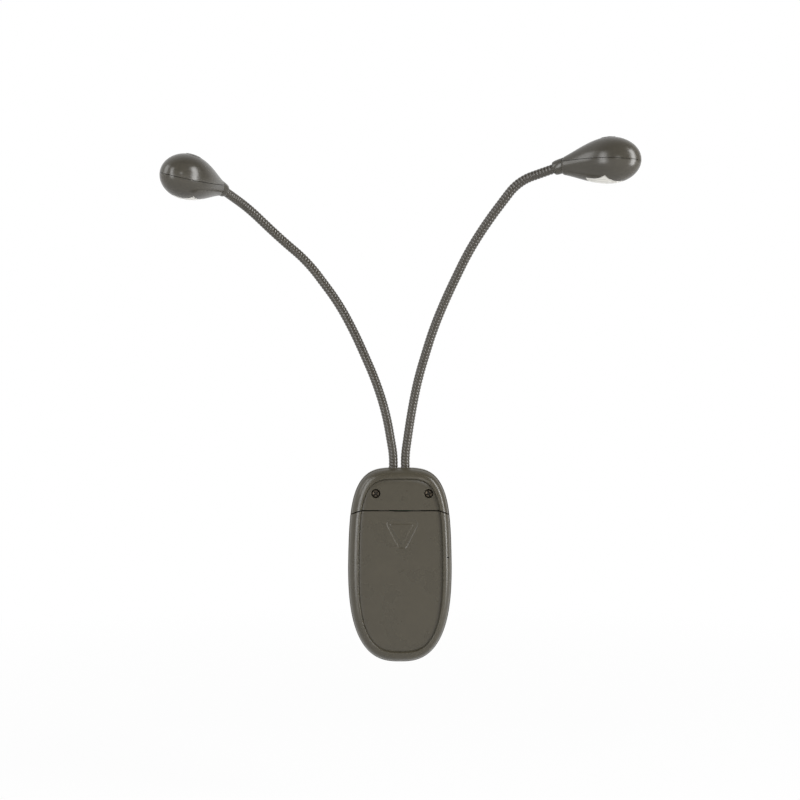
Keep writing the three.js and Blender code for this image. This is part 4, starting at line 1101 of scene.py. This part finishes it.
for side in necks:
    upper = keep_common(hollow_egg("upper"), head_slab(HEAD_SEAM_GAP / 2, 20))
    low, high = (BUTTON_X, 0, SEAM_ABOVE_NECK + 3), (BUTTON_X, 0, SEAM_ABOVE_NECK + 20)
    cut(upper, rod(low, high, BUTTON_RADIUS + 0.13, 64))
    head_piece(upper, side, "upper_shell", "upper_shell")

    lower = keep_common(hollow_egg("lower"), head_slab(-20, -HEAD_SEAM_GAP / 2))
    cut(lower, window_tool(0))
    head_piece(lower, side, "lower_shell", "lower_shell")

    lens = keep_common(cut(egg("lens", 0), egg("inside", HEAD_WALL)), window_tool(0.15))
    head_piece(lens, side, "window", "lens", lens_clear, "lens_plastic")

    head_piece(button_cap(), side, "button_cap", "button", body="button")

    bore = HOSE_RADIUS + 0.06
    collar_profile = [(bore, 0), (2.7, 0), (3.0, 0.15), (3.2, 0.5), (3.4, 1.6), (3.5, 3.4), (3.5, 6),
                      (bore, 6)]
    collar = turned("collar", collar_profile, 64, up=neck_direction)
    cut(collar, rod(neck_direction * -1, neck_direction * 8, bore + 0.04, 64))
    cut(collar, block((COLLAR_LENGTH - 0.1, -20, -20), (30, 20, 20)))
    head_piece(collar, side, "collar_ring", "collar")

# %% [markdown]
# ## Clip
#
# The clip arm is a shallow tray bent outwards above the jaw, with a rim that stiffens it. It is
# skinned from outlines that follow the bent face, so the rim and the round edges need no cutting.
# Its torsion spring turns round the hinge pin, and ribbed rubber pads line both jaws.

# %% Clip arm
JAW_INNER_Y = -FRONT_Y
ARM_INSET = 1.5
ARM_WALL = 2
ARM_RIM = 2.5
ARM_EDGE = 0.5
ARM_ROUND = 1.2
RIM_ROUND = 0.2
JAW_FLAT_Z = 13
BEND_LENGTH = 15
BEND_RISE = 12.55 - 2 * JAW_INNER_Y
FLARE = 3.5
MIDDLE_Z = (TOP_Z + BOTTOM_Z) / 2


def smooth_ramp(share):
    held = min(1, max(0, share))
    return held * held * (3 - 2 * held)


def arm_face_y(z):
    """The arm's inner face: flat along the jaw, bent outwards, then flared to the top."""
    start = JAW_FLAT_Z + BEND_LENGTH
    flare = FLARE * max(0, z - start) / (TOP_Z - start)
    return JAW_INNER_Y + BEND_RISE * smooth_ramp((z - JAW_FLAT_Z) / BEND_LENGTH) + flare


def arm_ring(inset, depth, rim_share):
    """One outline of the arm, at a depth behind its inner face; the rim fades out at the jaw."""
    ring = []
    for x, z in housing_outline(inset):
        rim = rim_share * ARM_RIM * smooth_ramp((z - JAW_FLAT_Z) / BEND_LENGTH)
        ring.append((x, arm_face_y(z) + depth - rim, z))
    return ring


def shrunk_ring(inset, share, depth):
    """An outline shrunk towards its middle, on the bent face."""
    ring = []
    for x, z in housing_outline(inset):
        nearer = MIDDLE_Z + (z - MIDDLE_Z) * share
        ring.append((x * share, arm_face_y(nearer) + depth, nearer))
    return ring


SHRINKS = [0.06 + 0.94 * i / 24 for i in range(24)]
arm_rings = [shrunk_ring(ARM_INSET + ARM_WALL, share, 0) for share in SHRINKS]
arm_rings.append(arm_ring(ARM_INSET + ARM_WALL, 0, 0))
for a in quarter(5):
    inset = ARM_INSET + ARM_WALL - ARM_EDGE * (1 - math.cos(a))
    arm_rings.append(arm_ring(inset, 0, 1 - RIM_ROUND * (1 - math.sin(a))))
for a in quarter(5)[1:]:
    inset = ARM_INSET + ARM_EDGE * (1 - math.sin(a))
    arm_rings.append(arm_ring(inset, 0, 1 - RIM_ROUND * (1 - math.cos(a))))
for a in quarter(8):
    inset = ARM_INSET + ARM_ROUND * (1 - math.cos(a))
    arm_rings.append(arm_ring(inset, ARM_WALL - ARM_ROUND * (1 - math.sin(a)), 0))
arm_rings += [shrunk_ring(ARM_INSET + ARM_ROUND, share, ARM_WALL) for share in reversed(SHRINKS)]
face_y = arm_face_y(MIDDLE_Z)
clip_arm = skin("clip_arm", arm_rings,
                start_tip=(0, face_y, MIDDLE_Z), end_tip=(0, face_y + ARM_WALL, MIDDLE_Z))
for side in (-1, 1):
    join(clip_arm, ear(arm_face_y(PIVOT.z) + 0.7, side, 9.8, 12.2))
cut(clip_arm, pin_hole())
finish_piece(clip_arm, "clip_arm_shell", "clip", case_plastic, "case_plastic", "clip_arm")

# %% Rubber pads
PAD_INSET = 5.5
PAD_TOP_Z = pad_high.z


def rubber_pad(name, seat_y, face_y, body, node):
    """A pad with a rounded edge and cross ribs on its gripping face."""
    out = math.copysign(1, face_y - seat_y)
    outline = [(x, z) for x, z in housing_outline(PAD_INSET) if z <= PAD_TOP_Z]
    middle_z = (BOTTOM_Z + PAD_TOP_Z) / 2 + 2
    rings = []

    def ring(share, y, ribbed=False):
        points = []
        for x, z in outline:
            px, pz = x * share, middle_z + (z - middle_z) * share
            rib = 0.22 * (1 + math.cos(2 * math.pi * pz / 2.2)) / 2 if ribbed else 0
            points.append((px, y - out * rib, pz))
        rings.append(points)

    ring(1, seat_y)
    edge = 0.5
    for a in quarter(4):
        share = 1 - edge * (1 - math.cos(a)) / 12
        ring(share, face_y - out * edge * (1 - math.sin(a)))
    for i in range(1, 40):
        ring(0.95 * (1 - i / 40) + 0.005, face_y, True)
    pad = skin(name, rings)
    finish_piece(pad, name, body, soft_rubber, "soft_rubber", node)


moving_low, moving_high = box_of("moving_pad")
rubber_pad("jaw_pad_fixed", pad_low.y, pad_high.y, "housing", "fixed_pad")
rubber_pad("jaw_pad_moving", moving_high.y, moving_low.y, "clip", "moving_pad")

# %% Hinge pin and spring
PIN_RADIUS = 1.25
pin_low, pin_high = box_of("hinge_pin")
pin_length = pin_high.x - pin_low.x
pin_profile = [(0, 0), (0.8, 0.03), (1.15, 0.2), (PIN_RADIUS, 0.45), (PIN_RADIUS, pin_length - 0.45),
               (1.15, pin_length - 0.2), (0.8, pin_length - 0.03), (0, pin_length)]
pin = turned("pin", pin_profile, 32, Vector((pin_low.x, PIVOT.y, PIVOT.z)), Vector((1, 0, 0)))
finish_piece(pin, "hinge_pin_rod", "housing", plated_steel, "plated_steel", "hinge_pin")

SPRING_WIRE = 0.9
SPRING_RADIUS = 3
SPRING_PITCH = 1.5
SPRING_TURNS = 5.5
HALF_COIL = SPRING_TURNS * SPRING_PITCH / 2
LEG_GAP = 0.3
LEG_RISE = 14


def spring_line():
    """The spring's wire: a leg on the housing, the coil, and a leg on the arm."""
    leg_z = PIVOT.z + LEG_RISE
    seat = Vector((-HALF_COIL, FRONT_Y + LEG_GAP + SPRING_WIRE / 2, leg_z))
    low = Vector((-HALF_COIL, PIVOT.y - SPRING_RADIUS, PIVOT.z + 1))
    points = [seat.lerp(low, i / 12) for i in range(12)]
    steps = round(SPRING_TURNS * 32)
    for i in range(steps + 1):
        a = 2 * math.pi * i / 32
        points.append(Vector((
            -HALF_COIL + SPRING_PITCH * i / 32,
            PIVOT.y - SPRING_RADIUS * math.cos(a),
            PIVOT.z - SPRING_RADIUS * math.sin(a),
        )))
    high = Vector((HALF_COIL, PIVOT.y + SPRING_RADIUS, PIVOT.z + 1))
    rest = Vector((HALF_COIL, arm_face_y(leg_z) - LEG_GAP - SPRING_WIRE / 2, leg_z))
    return points + [high.lerp(rest, i / 12) for i in range(1, 13)]


def swept(name, line, radius, sides=12):
    """A round wire along a line."""
    rings, side = [], Vector((1, 0, 0))
    for i, point in enumerate(line):
        heading = (line[min(i + 1, len(line) - 1)] - line[max(i - 1, 0)]).normalized()
        side = (side - heading * heading.dot(side)).normalized()
        rings.append(circle(point, side, side.cross(heading), [radius] * sides))
    return skin(name, rings)


spring = swept("spring", spring_line(), SPRING_WIRE / 2)
finish_piece(spring, "clip_spring_wire", None, plated_steel, "plated_steel", "clip_spring")
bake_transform(spring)

# %% [markdown]
# ## What shows once the door is off
#
# Three plain cells lie side by side, with their raised ends in turn up, down and up. They are turned
# pieces with a rolled edge and a jacket that stops short of the ends.

# %% Cells
CELL_RADIUS = 5.25
CELL_LENGTH = 44.5
for label, points_up in (("left", True), ("middle", False), ("right", True)):
    low, high = box_of(f"cell_{label}")
    start = Vector(((low.x + high.x) / 2, (low.y + high.y) / 2, low.z if points_up else high.z))
    up = Vector((0, 0, 1 if points_up else -1))
    profile = [(0, 0), (3.6, 0), (3.9, 0.25), (4.7, 0.25), (5.1, 0.4), (CELL_RADIUS, 0.75),
               (CELL_RADIUS, 42.3), (5.1, 42.75), (4.6, 43.0), (3.9, 42.9), (3.2, 43.2), (2.9, 43.2),
               (2.75, 43.4), (2.7, 44.2), (2.4, 44.45), (0, CELL_LENGTH)]
    cell = turned("cell", profile, 64, start, up)
    finish_piece(cell, f"cell_{label}_can", "housing", jacket_grey, "cell_jacket", f"cell_{label}")

# %% Materials of the nodes that stay
kept = {
    plated_steel: ("contact_positive", "bridge_top", "bridge_bottom", "contact_negative"),
    board_green: ("circuit_board", "head_left_led_board", "head_right_led_board"),
    soft_rubber: ("neck_anchor",),
    wire_grey: ("lead_left", "lead_right", "head_left_lead", "head_right_lead"),
    reflector_white: ("head_left_reflector", "head_right_reflector"),
    switch_black: ("head_left_switch", "head_right_switch"),
    led_resin: tuple(f"head_{side}_led_{end}" for side in necks for end in ("inner", "outer")),
}
for material, names in kept.items():
    for name in names:
        node = frame["nodes"][name]
        node.data.materials.clear()
        node.data.materials.append(material)
print("nodes kept:", sum(len(names) for names in kept.values()))
